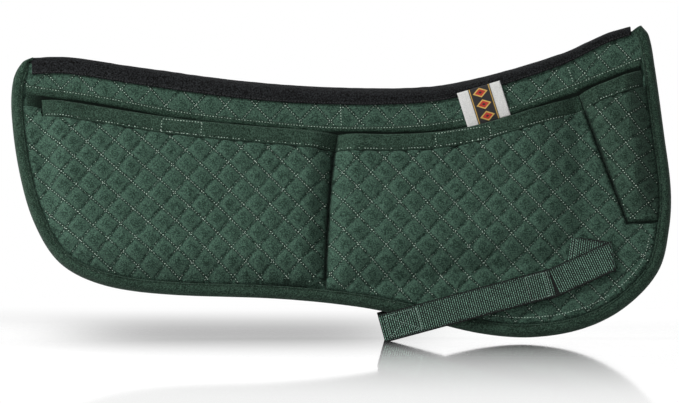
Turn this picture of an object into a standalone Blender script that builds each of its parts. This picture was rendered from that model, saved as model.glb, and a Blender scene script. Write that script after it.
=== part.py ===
"""Memory foam half pad for an English saddle, standing astride its rack, at its real size.

Each side is drawn flat, in millimetres: u runs along the fold line towards the withers, v up the side, and n out
from the middle plane. An empty on the fold line leans each side outward, and the spine tape bridges the two sides.
"""
import math

import bmesh
import bpy
from mathutils import Vector
from mathutils.geometry import interpolate_bezier

MM = 0.001
SIDES = {"right": -1, "left": 1}

# How the pad stands, and where its origin is: the underside of the spine at its dip
SPREAD = math.radians(12)
RISE = math.radians(3)
FOLD_LINE_HEIGHT = 50.0

# The top of the spine and the edge of one side, as anchors of smooth curves
SPINE_TOP = [(-318, -2), (-283, -3), (-227, -14), (-124, -33), (-41, -42.5), (30, -45.5), (76, -40), (150, -22.5),
             (190, -7), (221, 0)]
EDGE = [(220, -3), (226, -12), (229.5, -40), (234, -100), (237, -150), (233.5, -185), (222, -222), (192, -252),
        (155, -269), (110, -274.5), (66, -269), (13, -253.5), (-38, -240), (-107, -229), (-211, -219), (-263, -207.5),
        (-297, -187), (-317, -152), (-328, -108), (-333, -55), (-330.5, -23), (-322, -7), (-313, -3)]
MOUTH = [(-322, -39), (-255, -54), (-186, -68.5), (-100, -81.5), (-40, -89.5), (22, -92.5), (65, -89), (118, -76.5),
         (165, -62.5), (222, -43)]
BAND_TOP = [(-322, -27), (-255, -41), (-186, -58), (-100, -73), (-43, -80), (22, -81.5), (65, -77), (118, -66),
            (159, -52), (222, -30)]

# Layers of the base, from the middle plane out
GAP = 0.3
BINDING_INNER = 0.4
LINING = (1.7, 3.2)
WADDING = (3.5, 8.3)
COVER = (8.6, 9.5)
BAND = (9.8, 10.6)
LOOP_TAPE = (10.9, 11.7)
LABEL = (11.1, 11.7)
INSERT = (12.0, 21.5)
HOOK_TAPE = (21.9, 22.7)

# Binding, spine tape and the tape that covers the seam inside
BINDING_WIDTH = 10.5
BINDING_OUTER = 10.8
BINDING_CORNER = 2.0
CLOTH = 1.0
EDGE_CLEARANCE = BINDING_CORNER + CLOTH + GAP
TAPE_ENDS = (-306, 210)
TAPE_STRETCHES = 16
TAPE_CROWN = (3.0, 7.0)
TAPE_LEG = (11.0, 4.0)
TAPE_CLEARANCE = 0.4
CROWN_TURNS = (35, 65)
SEAM_TAPE_LEG = 12.0
SEAM_TAPE_CLOTH = 0.8
SEAM_TAPE_DROP = 1.0
SEAM_TAPE_CROWN = 1.5
BAND_ENDS = (-318.0, 216.5)
BAND_STRETCHES = 12

# Pockets: where a panel's inner face is sewn down, and how far it stands off there over an insert
SEWN = 10.9
PUFF = 12.1
ROUNDED = 0.65
PANEL_MARGIN = 2.0
PANEL_CLOTH = 2.5
HEM_CLOTH = 3.0
HEM = 15.0
MOUTH_LEVEL = -60.0
SEAM_LEAN = 0.087
SLANT_LEAN = -0.31
FOLD_LEVEL = -168.5
SHOULDER = 13.0
MIDDLE_FOOT = [(-60, -211), (128, -193)]

# Columns of each pocket from the rear to the front: u at the level of the mouths, lean, and share of the puff
REAR_SIDE = [(-320, 0, 0), (-305, 0, 0)]
REAR_MOUTH = [(-300.5, 0, ROUNDED), (-292, 0, 1), (-240, 0, 1), (-185, 0, 1), (-130, 0, 1), (-71, SEAM_LEAN, 1),
              (-62.5, SEAM_LEAN, ROUNDED), (-57, SEAM_LEAN, 0)]
MIDDLE_MOUTH = [(-56, SEAM_LEAN, 0), (-51, SEAM_LEAN, ROUNDED), (-43, SEAM_LEAN, 1), (0, 0, 1), (45, 0, 1),
                (90, 0, 1), (128, 0, 1)]
MIDDLE_FALL = [(142, 0, 0), (160.2, SLANT_LEAN, 0)]
MIDDLE_SIDE = [(142, 0, 0), (166.2, 0, 0), (177, 0, 0), (193.9, 0, 0), (208, 0, 0), (222, 0, 0)]
FRONT_MOUTH = [(161.4, SLANT_LEAN, 0), (165.5, SLANT_LEAN, ROUNDED), (172, -0.30, 1), (190, -0.18, 1),
               (207.5, -0.064, 1), (214, -0.06, ROUNDED), (218.7, -0.055, 0)]

# Foam inserts: the ends of the two long ones at their upper edge, and the room that each has in its pocket
REAR_INSERT = (-290.0, -73.0)
MIDDLE_INSERT = (-41.0, 126.0)
INSERT_STRETCHES = 5
INSERT_TOP = 0.9
INSERT_FOOT = 2.5
INSERT_SIDE = 2.0
INSERT_ROUND = 1.5
INSERT_CORNER = 10.0
WEDGE_CORNER = 5.0
CORNER_TURN = math.radians(30)

# Hook and loop tabs that close the two long mouths: centre u, length, turn in the plane of the side
TABS = {"rear": (-185.5, 35.0, math.radians(-8.5)), "middle": (59.0, 48.0, math.radians(5.5))}
TAB_HEIGHT = 12.0
TAB_DROP = 7.6

# Billet strap: an anchor sewn on the middle panel, folded over at a crease, and the arm sewn to its free lead
WEBBING = 25.4
CREASE = (182.7, -209.4)
CREASE_LEVEL = 15.8
CREASE_TURN = math.radians(95)
LEAD_TURN = math.radians(21.5)
ARM_TURN = math.radians(12.3)
ANCHOR_LENGTH = 38.0
LEAD_LENGTH = 57.0
ARM_LENGTH = 162.0
LAP = 8.0
LAP_CLEARANCE = 3.0
ANCHOR_LAYER = (14.1, 15.6)
LEAD_LAYER = (0.2, 1.7)
ARM_LAYER = (2.0, 3.5)
PATCH_LAYER = (0.8, 1.7)
HOOK_PATCH = 30.0
HOOK_PATCH_MARGIN = 2.0
LOOP_PATCH = 70.0
PATCH_HEIGHT = 20.0

# Woven label on the right side: its two upper corners and its height
LABEL_TOP = [(56, -56), (94, -46.5)]
LABEL_HEIGHT = 32.5

GREEN = (0.021, 0.072, 0.045)
DARK_GREEN = (0.014, 0.047, 0.030)
BLACK = (0.012, 0.011, 0.012)
FOAM = (0.62, 0.57, 0.42)


def clear_objects():
    for thing in list(bpy.data.objects):
        bpy.data.objects.remove(thing, do_unlink=True)


def cloth_material(name, colour, roughness=0.85):
    material = bpy.data.materials.new(name)
    material.use_nodes = True
    shader = material.node_tree.nodes["Principled BSDF"]
    shader.inputs["Base Color"].default_value = (*colour, 1.0)
    shader.inputs["Roughness"].default_value = roughness
    shader.inputs["Metallic"].default_value = 0.0
    return material


def empty(name, location, rotation, parent=None):
    frame = bpy.data.objects.new(name, None)
    frame.location = [value * MM for value in location]
    frame.rotation_euler = rotation
    frame.parent = parent
    bpy.context.collection.objects.link(frame)
    return frame


def add_piece(name, shape, parent, colour, origin=(0.0, 0.0, 0.0)):
    """Makes an object of a bmesh whose points are in its parent's frame, with the given origin in that frame."""
    bmesh.ops.translate(shape, verts=shape.verts, vec=[-value for value in origin])
    bmesh.ops.scale(shape, verts=shape.verts, vec=(MM, MM, MM))
    mesh = bpy.data.meshes.new(name)
    shape.to_mesh(mesh)
    shape.free()
    piece = bpy.data.objects.new(name, mesh)
    piece.location = [value * MM for value in origin]
    piece.parent = parent
    bpy.context.collection.objects.link(piece)
    mesh.materials.append(cloth_material(name, colour))
    return piece


def smooth_line(anchors, stretches=2):
    """Points of a curve through the anchors: a Bezier stretch between each two, cut into equal parts."""
    knots = [Vector((*anchor, 0.0)) for anchor in anchors]
    last = len(knots) - 1
    points = [knots[0]]
    for i in range(last):
        third = (knots[i + 1] - knots[i]).length / 3
        leave = (knots[i + 1] - knots[max(i - 1, 0)]).normalized() * third
        arrive = (knots[min(i + 2, last)] - knots[i]).normalized() * third
        points += interpolate_bezier(
            knots[i], knots[i] + leave, knots[i + 1] - arrive, knots[i + 1], stretches + 1)[1:]
    return [(point.x, point.y) for point in points]


def level_at(line, u):
    """Height of a line, given as points in order of u, at one u."""
    points = sorted(line)
    for (u0, v0), (u1, v1) in zip(points, points[1:]):
        if u <= u1:
            return v0 + (v1 - v0) * (u - u0) / (u1 - u0)
    return points[-1][1]


def inset(path, distance):
    """Moves each point of a clockwise open path to its right, which is into the side."""
    moved = []
    for i, point in enumerate(path):
        before = path[max(i - 1, 0)]
        after = path[min(i + 1, len(path) - 1)]
        along = Vector((after[0] - before[0], after[1] - before[1])).normalized()
        moved.append((point[0] + along.y * distance, point[1] - along.x * distance))
    return moved


def steps(start, end, count):
    return [start + (end - start) * i / count for i in range(count + 1)]


def blend(values, share):
    return values[0] + (values[1] - values[0]) * share


def tape_share(u):
    return (u - TAPE_ENDS[0]) / (TAPE_ENDS[1] - TAPE_ENDS[0])


def crown(u):
    """How far the tape's top stands above the outer corner of a side."""
    return blend(TAPE_CROWN, math.sin(math.pi * tape_share(u)))


def spine_edge(u):
    """Height v of a side's upper edge, under the crown of the tape."""
    top = level_at(SPINE_LINE, u) - crown(u) - CLOTH
    return (top - COVER[1] * math.sin(SPREAD)) / math.cos(SPREAD)


SPINE_LINE = smooth_line(SPINE_TOP)
TAPE_STEPS = steps(TAPE_ENDS[0], TAPE_ENDS[1], TAPE_STRETCHES)
EDGE_PATH = smooth_line(EDGE)
MOUTH_LINE = smooth_line(MOUTH)
BAND_TOP_LINE = smooth_line(BAND_TOP)
INNER_EDGE = inset(EDGE_PATH, BINDING_WIDTH + PANEL_MARGIN)
LOWER_EDGE = [point for point in INNER_EDGE if point[1] < FOLD_LEVEL or point[0] < -250 and point[1] < MOUTH_LEVEL]


def slab(outline, layer, side):
    """Flat piece: an outline in u and v, extruded from the layer's inner n to its outer n."""
    shape = bmesh.new()
    corners = [shape.verts.new((u, SIDES[side] * layer[0], v)) for u, v in outline]
    face = shape.faces.new(corners)
    raised = bmesh.ops.extrude_face_region(shape, geom=[face])["geom"]
    lifted = [item for item in raised if isinstance(item, bmesh.types.BMVert)]
    bmesh.ops.translate(shape, verts=lifted, vec=(0.0, SIDES[side] * (layer[1] - layer[0]), 0.0))
    bmesh.ops.recalc_face_normals(shape, faces=shape.faces)
    return shape


def round_slab(shape, corner):
    """Rounds a slab's corners in its own plane, and then the rims of its two faces."""
    shape.normal_update()
    uprights = [edge for edge in shape.edges if is_upright(edge) and edge.calc_face_angle() > CORNER_TURN]
    bmesh.ops.bevel(shape, geom=uprights, offset=corner, offset_type="WIDTH", segments=3, profile=0.5,
                    affect="EDGES")
    rims = [edge for edge in shape.edges if not is_upright(edge)]
    bmesh.ops.bevel(shape, geom=rims, offset=INSERT_ROUND, segments=1, affect="EDGES")


def is_upright(edge):
    """Whether an edge of a slab runs through its thickness."""
    return abs(edge.verts[0].co.y - edge.verts[1].co.y) > GAP


def grid_sheet(rows, flip):
    """Open sheet of quads through rows of points, its faces turned over when flip is set."""
    shape = bmesh.new()
    knots = [[shape.verts.new(point) for point in row] for row in rows]
    for upper, lower in zip(knots, knots[1:]):
        for i in range(len(upper) - 1):
            corners = [upper[i], lower[i], lower[i + 1], upper[i + 1]]
            shape.faces.new(corners[::-1] if flip else corners)
    return shape


def thicken(piece, cloth, outward):
    """Gives a sheet its thickness, on the side its faces point to or on the other."""
    wall = piece.modifiers.new("cloth", "SOLIDIFY")
    wall.thickness = cloth * MM
    wall.offset = 1.0 if outward else -1.0
    wall.use_even_offset = True


def webbing(start, end, start_cut, end_cut, centre=(0.0, 0.0), turn=0.0, width=WEBBING):
    """Outline of a straight strip along its own x, its ends cut at angles, then turned and moved."""
    corners = []
    for x, across, cut in ((start, 1, start_cut), (end, 1, end_cut), (end, -1, end_cut), (start, -1, start_cut)):
        z = across * width / 2
        x += z / math.tan(cut)
        corners.append((centre[0] + x * math.cos(turn) - z * math.sin(turn),
                        centre[1] + x * math.sin(turn) + z * math.cos(turn)))
    return corners


def base_outline():
    """Edge of the quilted layers: just inside the binding, and along the spine under the tape."""
    edge = inset(EDGE_PATH, EDGE_CLEARANCE)
    return edge + [(u, spine_edge(u)) for u in TAPE_STEPS]


def add_base(side, frame):
    for name, layer, colour in (("lining", LINING, DARK_GREEN), ("base_wadding", WADDING, FOAM),
                                ("base_cover", COVER, GREEN)):
        add_piece(f"{side}_{name}", slab(base_outline(), layer, side), frame, colour)


def add_band(side, frame):
    """Plain facing sewn across the side, from above the pocket mouths to below their hems."""
    along = steps(BAND_ENDS[0], BAND_ENDS[1], BAND_STRETCHES)
    top = [(u, level_at(BAND_TOP_LINE, u)) for u in along]
    foot = [(u, level_at(MOUTH_LINE, u) - HEM) for u in reversed(along)]
    add_piece(f"{side}_facing_band", slab(top + foot, BAND, side), frame, GREEN)


def add_binding(side, frame):
    """Cloth wrapped round the edge: a U section carried along the edge path."""
    section = ((BINDING_WIDTH, BINDING_INNER), (BINDING_CORNER, BINDING_INNER), (0.0, BINDING_INNER + BINDING_CORNER),
               (0.0, BINDING_OUTER - BINDING_CORNER), (BINDING_CORNER, BINDING_OUTER), (BINDING_WIDTH, BINDING_OUTER))
    rows = []
    for depth, out in section:
        rows.append([(u, SIDES[side] * out, v) for u, v in inset(EDGE_PATH, depth)])
    piece = add_piece(f"{side}_edge_binding", grid_sheet(rows, side == "left"), frame, GREEN)
    thicken(piece, CLOTH, outward=False)


class Column:
    """One column of a pocket sheet: its u at the level of the mouths, its lean, and its share of the puff."""

    def __init__(self, u, lean, puff):
        self.u = u
        self.lean = lean
        self.puff = puff

    def place(self, v, row_puff, side, cloth):
        u = self.u + self.lean * (v - MOUTH_LEVEL)
        out = SEWN + PUFF * self.puff * row_puff + cloth
        return (u, SIDES[side] * out, v)


def columns_of(plan):
    return [Column(*entry) for entry in plan]


def add_panel(name, side, frame, columns, levels, puffs, cloth):
    """Sheet over the outer face of a panel, thickened inward; levels(column) gives v, and puffs the share, by row."""
    rows = [[column.place(levels(column)[row], puffs[row], side, cloth) for column in columns]
            for row in range(len(puffs))]
    piece = add_piece(f"{side}_{name}", grid_sheet(rows, side == "left"), frame, GREEN)
    thicken(piece, cloth, outward=False)


def hem_levels(column):
    mouth = level_at(MOUTH_LINE, column.u)
    return (mouth, mouth - HEM)


def panel_top(column):
    return level_at(MOUTH_LINE, column.u) - HEM - GAP


def hems(side, frame):
    """Folded strips along the mouths; they stand off over the inserts, so that each mouth is open."""
    plans = {"rear": REAR_SIDE[1:] + REAR_MOUTH, "middle": MIDDLE_MOUTH + MIDDLE_FALL, "front": FRONT_MOUTH}
    for name, plan in plans.items():
        add_panel(f"{name}_pocket_hem", side, frame, columns_of(plan), hem_levels, (1, 1), HEM_CLOTH)


def add_rear_panel(side, frame):
    """Rear pocket: puffed over its insert, and sewn down at the binding, the seam and the foot."""

    def levels(column):
        top = panel_top(column)
        foot = level_at(LOWER_EDGE, column.u)
        shoulder = foot + min(SHOULDER, (top - foot) / 3)
        return (top, blend((top, shoulder), 0.5), shoulder, blend((foot, shoulder), 1 - ROUNDED), foot)

    add_panel("rear_pocket_panel", side, frame, columns_of(REAR_SIDE + REAR_MOUTH), levels,
              (1, 1, 1, ROUNDED, 0), PANEL_CLOTH)


def middle_top(column):
    """Upper edge of the middle panel: its hem, then the slanted seam, then the fold below the front pocket."""
    slant = MOUTH_LEVEL + (column.u - MIDDLE_FALL[-1][0]) / SLANT_LEAN
    return max(FOLD_LEVEL - 2 * GAP, min(panel_top(column), slant))


def add_middle_panel(side, frame):
    """Middle pocket: puffed over its insert, flat where the strap lies, and running on below the front pocket."""

    def levels(column):
        top = middle_top(column)
        foot = level_at(LOWER_EDGE, column.u)
        shoulder = max(level_at(MIDDLE_FOOT, column.u), blend((top, foot), 0.9))
        shelf = max(shoulder - SHOULDER, blend((shoulder, foot), 0.7))
        return (top, blend((top, shoulder), 0.5), shoulder, blend((shelf, shoulder), 1 - ROUNDED), shelf, foot)

    add_panel("middle_pocket_panel", side, frame, columns_of(MIDDLE_MOUTH + MIDDLE_SIDE), levels,
              (1, 1, 1, ROUNDED, 0, 0), PANEL_CLOTH)


def add_front_panel(side, frame):
    """Front pocket: a wedge between the slanted seam and the binding, closed at a short fold."""

    def levels(column):
        top = panel_top(column)
        shoulder = FOLD_LEVEL + SHOULDER
        return (top, blend((top, shoulder), 0.5), shoulder, blend((FOLD_LEVEL, shoulder), 1 - ROUNDED), FOLD_LEVEL)

    add_panel("front_pocket_panel", side, frame, columns_of(FRONT_MOUTH), levels, (1, 1, 1, ROUNDED, 0), PANEL_CLOTH)


def insert_top(u):
    return level_at(MOUTH_LINE, u) - HEM - INSERT_TOP


def add_insert(name, outline, corner, side, frame):
    middle = (sum(u for u, _ in outline) / len(outline), SIDES[side] * sum(INSERT) / 2,
              sum(v for _, v in outline) / len(outline))
    shape = slab(outline, INSERT, side)
    round_slab(shape, corner)
    add_piece(f"{side}_{name}_foam_insert", shape, frame, FOAM, middle)


def add_inserts(side, frame):
    """Memory foam inserts: each lies inside its pocket and leaves by the mouth."""
    rear_foot = level_at(LOWER_EDGE, REAR_INSERT[1])
    foot_end = REAR_INSERT[1] + SEAM_LEAN * (rear_foot - MOUTH_LEVEL)
    top = [(u, insert_top(u)) for u in steps(REAR_INSERT[0], REAR_INSERT[1], INSERT_STRETCHES)]
    foot = [(u, level_at(LOWER_EDGE, u) + SHOULDER + INSERT_FOOT)
            for u in steps(foot_end, REAR_INSERT[0], INSERT_STRETCHES)]
    add_insert("rear", top + foot, INSERT_CORNER, side, frame)
    top = [(u, insert_top(u)) for u in steps(MIDDLE_INSERT[0], MIDDLE_INSERT[1], INSERT_STRETCHES)]
    foot = [(u, level_at(MIDDLE_FOOT, u) + INSERT_FOOT) for u in reversed(MIDDLE_INSERT)]
    add_insert("middle", top + foot, INSERT_CORNER, side, frame)
    low = FOLD_LEVEL + SHOULDER + INSERT_FOOT
    full = [entry for entry in FRONT_MOUTH if entry[2] == 1]
    top = []
    foot = []
    for (u, lean, _), room in ((full[0], INSERT_SIDE), (full[-1], -INSERT_SIDE)):
        high = insert_top(u)
        top.append((u + room + lean * (high - MOUTH_LEVEL), high))
        foot.append((u + room + lean * (low - MOUTH_LEVEL), low))
    add_insert("front", top + foot[::-1], WEDGE_CORNER, side, frame)


def add_tabs(side, frame):
    """Loop tape on the facing band and hook tape under the hem, opposite each other."""
    for name, (u, length, turn) in TABS.items():
        centre = (u, level_at(MOUTH_LINE, u) - TAB_DROP)
        square = math.radians(90)
        outline = webbing(-length / 2, length / 2, square, square, centre, turn, TAB_HEIGHT)
        add_piece(f"{side}_{name}_loop_tape", slab(outline, LOOP_TAPE, side), frame, DARK_GREEN)
        add_piece(f"{side}_{name}_hook_tape", slab(outline, HOOK_TAPE, side), frame, DARK_GREEN)


def add_strap(side, frame):
    """Billet strap: the anchor is sewn down, and lead, arm and patches turn about the crease."""
    square = math.radians(90)
    anchor_turn = 2 * CREASE_TURN - math.pi - LEAD_TURN
    anchor = webbing(-ANCHOR_LENGTH, -GAP, square, CREASE_TURN - anchor_turn, CREASE, anchor_turn)
    add_piece(f"{side}_strap_anchor", slab(anchor, ANCHOR_LAYER, side), frame, GREEN)
    crease = empty(f"{side}_strap_frame", (CREASE[0], SIDES[side] * CREASE_LEVEL, CREASE[1]), (0, -LEAD_TURN, 0), frame)
    lead = webbing(-LEAD_LENGTH, -GAP, square, CREASE_TURN - LEAD_TURN)
    add_piece(f"{side}_strap_lead", slab(lead, LEAD_LAYER, side), crease, GREEN)
    bend = ARM_TURN - LEAD_TURN
    seam = (-LEAD_LENGTH, 0.0)
    arm = webbing(-ARM_LENGTH + LAP, LAP, square, square, seam, bend)
    add_piece(f"{side}_strap_arm", slab(arm, ARM_LAYER, side), crease, GREEN)
    hook_end = -ARM_LENGTH + LAP + HOOK_PATCH_MARGIN
    hook = webbing(hook_end, hook_end + HOOK_PATCH, square, square, seam, bend, PATCH_HEIGHT)
    add_piece(f"{side}_strap_hook_patch", slab(hook, PATCH_LAYER, side), crease, DARK_GREEN)
    loop = webbing(-LOOP_PATCH - LAP_CLEARANCE, -LAP_CLEARANCE, square, square, seam, bend, PATCH_HEIGHT)
    add_piece(f"{side}_strap_loop_patch", slab(loop, PATCH_LAYER, side), crease, DARK_GREEN)


def add_label(frame):
    rear, front = (Vector(corner) for corner in LABEL_TOP)
    down = Vector((front.y - rear.y, rear.x - front.x)).normalized() * LABEL_HEIGHT
    outline = [tuple(rear), tuple(front), tuple(front + down), tuple(rear + down)]
    add_piece("woven_label", slab(outline, LABEL, "right"), frame, BLACK)


def across(side, v, n):
    """Place in the frame of the spine of a point of a side: y to the left, z up from the fold line."""
    lean = SIDES[side] * SPREAD
    return (SIDES[side] * n * math.cos(SPREAD) - v * math.sin(lean), v * math.cos(SPREAD) + n * math.sin(SPREAD))


def arch(u, leg, n, rise, clear):
    """Section of a tape over the spine: up one side, over an elliptic crown, and down the other."""
    edge = spine_edge(u) + clear
    foot = across("left", edge - leg, n)
    spring = across("left", edge, n)
    half = [foot, spring]
    for turn in CROWN_TURNS:
        angle = math.radians(turn)
        half.append((spring[0] * math.cos(angle), spring[1] + rise * math.sin(angle)))
    crest = (0.0, spring[1] + rise)
    return [(u, -y, z) for y, z in half] + [(u, *crest)] + [(u, y, z) for y, z in reversed(half)]


def add_spine(frame):
    """Outer tape over the fold, and the tape that covers the seam on the underside."""
    outer = []
    inner = []
    for u in TAPE_STEPS:
        outer.append(arch(u, blend(TAPE_LEG, tape_share(u)), BAND[0], crown(u), TAPE_CLEARANCE))
        inner.append(arch(u, SEAM_TAPE_LEG, LINING[0] - GAP, SEAM_TAPE_CROWN, -SEAM_TAPE_DROP))
    tape = add_piece("spine_tape", grid_sheet(outer, False), frame, BLACK)
    thicken(tape, CLOTH, outward=True)
    seam_tape = add_piece("spine_seam_tape", grid_sheet(inner, False), frame, DARK_GREEN)
    thicken(seam_tape, SEAM_TAPE_CLOTH, outward=False)


def build():
    clear_objects()
    fold_line = (0, 0, FOLD_LINE_HEIGHT)
    add_spine(empty("spine_frame", fold_line, (0, -RISE, 0)))
    for side, sign in SIDES.items():
        frame = empty(f"{side}_side_frame", fold_line, (sign * SPREAD, -RISE, 0))
        add_base(side, frame)
        add_band(side, frame)
        add_binding(side, frame)
        hems(side, frame)
        add_rear_panel(side, frame)
        add_middle_panel(side, frame)
        add_front_panel(side, frame)
        add_inserts(side, frame)
        add_tabs(side, frame)
        add_strap(side, frame)
        if side == "right":
            add_label(frame)


build()
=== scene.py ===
import math

import bpy
import numpy as np
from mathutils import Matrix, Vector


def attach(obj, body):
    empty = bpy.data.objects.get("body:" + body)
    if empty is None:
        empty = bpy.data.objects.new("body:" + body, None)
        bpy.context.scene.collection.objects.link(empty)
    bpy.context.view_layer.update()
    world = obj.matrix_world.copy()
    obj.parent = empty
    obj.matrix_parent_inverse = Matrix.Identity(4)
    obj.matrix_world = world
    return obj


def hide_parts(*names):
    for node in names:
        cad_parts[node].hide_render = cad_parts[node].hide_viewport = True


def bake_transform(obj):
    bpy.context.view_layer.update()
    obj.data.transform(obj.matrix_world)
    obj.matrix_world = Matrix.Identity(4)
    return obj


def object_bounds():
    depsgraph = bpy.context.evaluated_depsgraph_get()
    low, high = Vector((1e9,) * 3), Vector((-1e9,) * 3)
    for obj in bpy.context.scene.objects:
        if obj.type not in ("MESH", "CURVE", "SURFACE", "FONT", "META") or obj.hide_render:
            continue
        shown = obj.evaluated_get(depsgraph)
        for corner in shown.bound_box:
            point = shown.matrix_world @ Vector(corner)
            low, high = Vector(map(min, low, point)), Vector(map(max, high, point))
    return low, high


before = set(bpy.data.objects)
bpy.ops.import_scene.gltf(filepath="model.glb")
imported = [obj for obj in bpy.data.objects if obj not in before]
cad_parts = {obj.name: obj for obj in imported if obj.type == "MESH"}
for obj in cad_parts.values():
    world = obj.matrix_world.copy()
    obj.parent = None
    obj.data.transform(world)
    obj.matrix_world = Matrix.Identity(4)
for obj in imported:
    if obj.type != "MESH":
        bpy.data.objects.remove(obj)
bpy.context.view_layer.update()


# Quilted lining.
# The side that lies on the horse: dark cotton quilted through to the wadding, one piece for each side.
# Cut to the shape of the side, quilted on the frame, and caught in the edge binding.

# Sizes are in millimetres. On each side u runs forward along the fold, v up the side and n out of it.
# Heights are counted along n from the middle plane.
MM = 0.001
SIDES = {"right": -1.0, "left": 1.0}
LEAN = math.radians(12)
RISE = math.radians(3)
FOLD_LINE = 50.0

SPINE_TOP = [(-318, -2), (-283, -3), (-227, -14), (-124, -33), (-41, -42.5), (30, -45.5), (76, -40),
             (150, -22.5), (190, -7), (221, 0)]
EDGE = [(220, -3), (226, -12), (229.5, -40), (234, -100), (237, -150), (233.5, -185), (222, -222),
        (192, -252), (155, -269), (110, -274.5), (66, -269), (13, -253.5), (-38, -240), (-107, -229),
        (-211, -219), (-263, -207.5), (-297, -187), (-317, -152), (-328, -108), (-333, -55), (-330.5, -23),
        (-322, -7), (-313, -3)]
TAPE_ENDS = (-306.0, 210.0)
TAPE_CROWN = (3.0, 7.0)
TAPE_CLOTH = 1.0
COVER_TOP = 9.5
LINING = (1.7, 3.2)
LAYER_INSET = 3.3
FIRST_U = -332.0
LAST_U = 236.0
LOWEST_V = -278.0
LINING_STEP = 2.4

# The quilting's two sets of lines: how dark the painted shade in their grooves is and how wide, where the
# cloth beside them gets a painted highlight, and how it gathers along them
GROOVE_SHADES = (0.95, 0.9)
GROOVE_WIDTH = 0.95
LIT_AWAY = 2.7
LIT_WIDTH = 1.9
LIT_SHARE = 0.55
PUFF_POWER = 0.72
GATHER_LENGTH = 5.6
GATHER_REACH = 2.2
SPOT_REACH = 50.0
LINES_EACH_WAY = 30
LINE_REACH = 420.0
FIRST_SET_SUNK = 0.6
BEAD_SHARE = 0.46

LINING_GREEN = (0.014, 0.036, 0.024)
THREAD_GREEN = (0.46, 0.56, 0.49)
TWILL_PITCH = 0.00062
YARN_PITCH = 0.00041


def stand(u, across, up):
    """Points in metres from millimetres along the fold, across it to the left and up from the fold line,
    tipped by the rise towards the withers."""
    x = u * math.cos(RISE) - up * math.sin(RISE)
    z = FOLD_LINE + u * math.sin(RISE) + up * math.cos(RISE)
    return np.stack(np.broadcast_arrays(x, across, z), axis=-1) * MM


def place(side, u, v, n):
    """Points of a side: its u, v and n, leaned outward about the fold line."""
    across = SIDES[side] * (n * math.cos(LEAN) - v * math.sin(LEAN))
    return stand(u, across, v * math.cos(LEAN) + n * math.sin(LEAN))


def smooth_line(anchors, stretches=16):
    """Curve through the anchors: each two are joined by a Bezier stretch whose handles are a third of their
    chord long and lie along the line between the anchors before and after."""
    knots = np.array(anchors, float)
    order = np.arange(len(knots) - 1)
    start = knots[order]
    end = knots[order + 1]
    third = np.linalg.norm(end - start, axis=1, keepdims=True) / 3
    leave = end - knots[np.maximum(order - 1, 0)]
    arrive = knots[np.minimum(order + 2, len(knots) - 1)] - start
    leave *= third / np.linalg.norm(leave, axis=1, keepdims=True)
    arrive *= third / np.linalg.norm(arrive, axis=1, keepdims=True)
    t = np.linspace(0, 1, stretches, endpoint=False)[None, :, None]
    points = (start[:, None] * (1 - t) ** 3 + 3 * (start + leave)[:, None] * t * (1 - t) ** 2
              + 3 * (end - arrive)[:, None] * t ** 2 * (1 - t) + end[:, None] * t ** 3)
    return np.vstack([points.reshape(-1, 2), knots[-1:]])


def turned_right(line):
    """Unit normals of a line of points, a quarter turn to the right of its direction at each point."""
    along = np.gradient(line, axis=0)
    along /= np.linalg.norm(along, axis=1, keepdims=True)
    return np.stack([along[:, 1], -along[:, 0]], axis=1)


SPINE_LINE = smooth_line(SPINE_TOP)
EDGE_PATH = smooth_line(EDGE)
EDGE_INWARD = turned_right(EDGE_PATH)


def tape_share(u):
    """Share of the tape's length behind a place along the fold."""
    return np.clip((u - TAPE_ENDS[0]) / (TAPE_ENDS[1] - TAPE_ENDS[0]), 0, 1)


def tape_crown(u):
    """Height of the tape's top over the sides: a half sine wave along the fold."""
    return TAPE_CROWN[0] + (TAPE_CROWN[1] - TAPE_CROWN[0]) * np.sin(np.pi * tape_share(u))


def spine_edge(u):
    """Height v of a side's upper edge: the spine's line less the tape's crown and cloth, less the lean."""
    top = np.interp(u, SPINE_LINE[:, 0], SPINE_LINE[:, 1]) - tape_crown(u) - TAPE_CLOTH
    return (top - COVER_TOP * math.sin(LEAN)) / math.cos(LEAN)


def from_edge(u, v):
    """Distance inside the edge of a side: to the nearest point of the edge path, along its normal there."""
    points = np.stack([u, v], axis=-1).reshape(-1, 2)
    found = np.empty(len(points))
    batch = 8000
    for first in range(0, len(points), batch):
        away = points[first:first + batch, None] - EDGE_PATH[None]
        nearest = (away ** 2).sum(axis=2).argmin(axis=1)
        rows = np.arange(len(nearest))
        found[first:first + batch] = (away[rows, nearest] * EDGE_INWARD[nearest]).sum(axis=1)
    return found.reshape(np.shape(u))


def least(*distances):
    """The smallest of several distances at each place."""
    return np.minimum.reduce(np.broadcast_arrays(*distances))


def layer_inside(u, v):
    """Distance inside the outline of the base's layers: the inset edge, and the upper edge by the tape."""
    return np.minimum(from_edge(u, v) - LAYER_INSET, spine_edge(u) - v)


def grid_squares(rows, columns):
    """Squares of a full grid whose rows run down and whose columns run forward."""
    number = np.arange(rows * columns).reshape(rows, columns)
    corners = [number[:-1, :-1], number[1:, :-1], number[1:, 1:], number[:-1, 1:]]
    return np.stack(corners, axis=-1).reshape(-1, 4)


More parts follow.
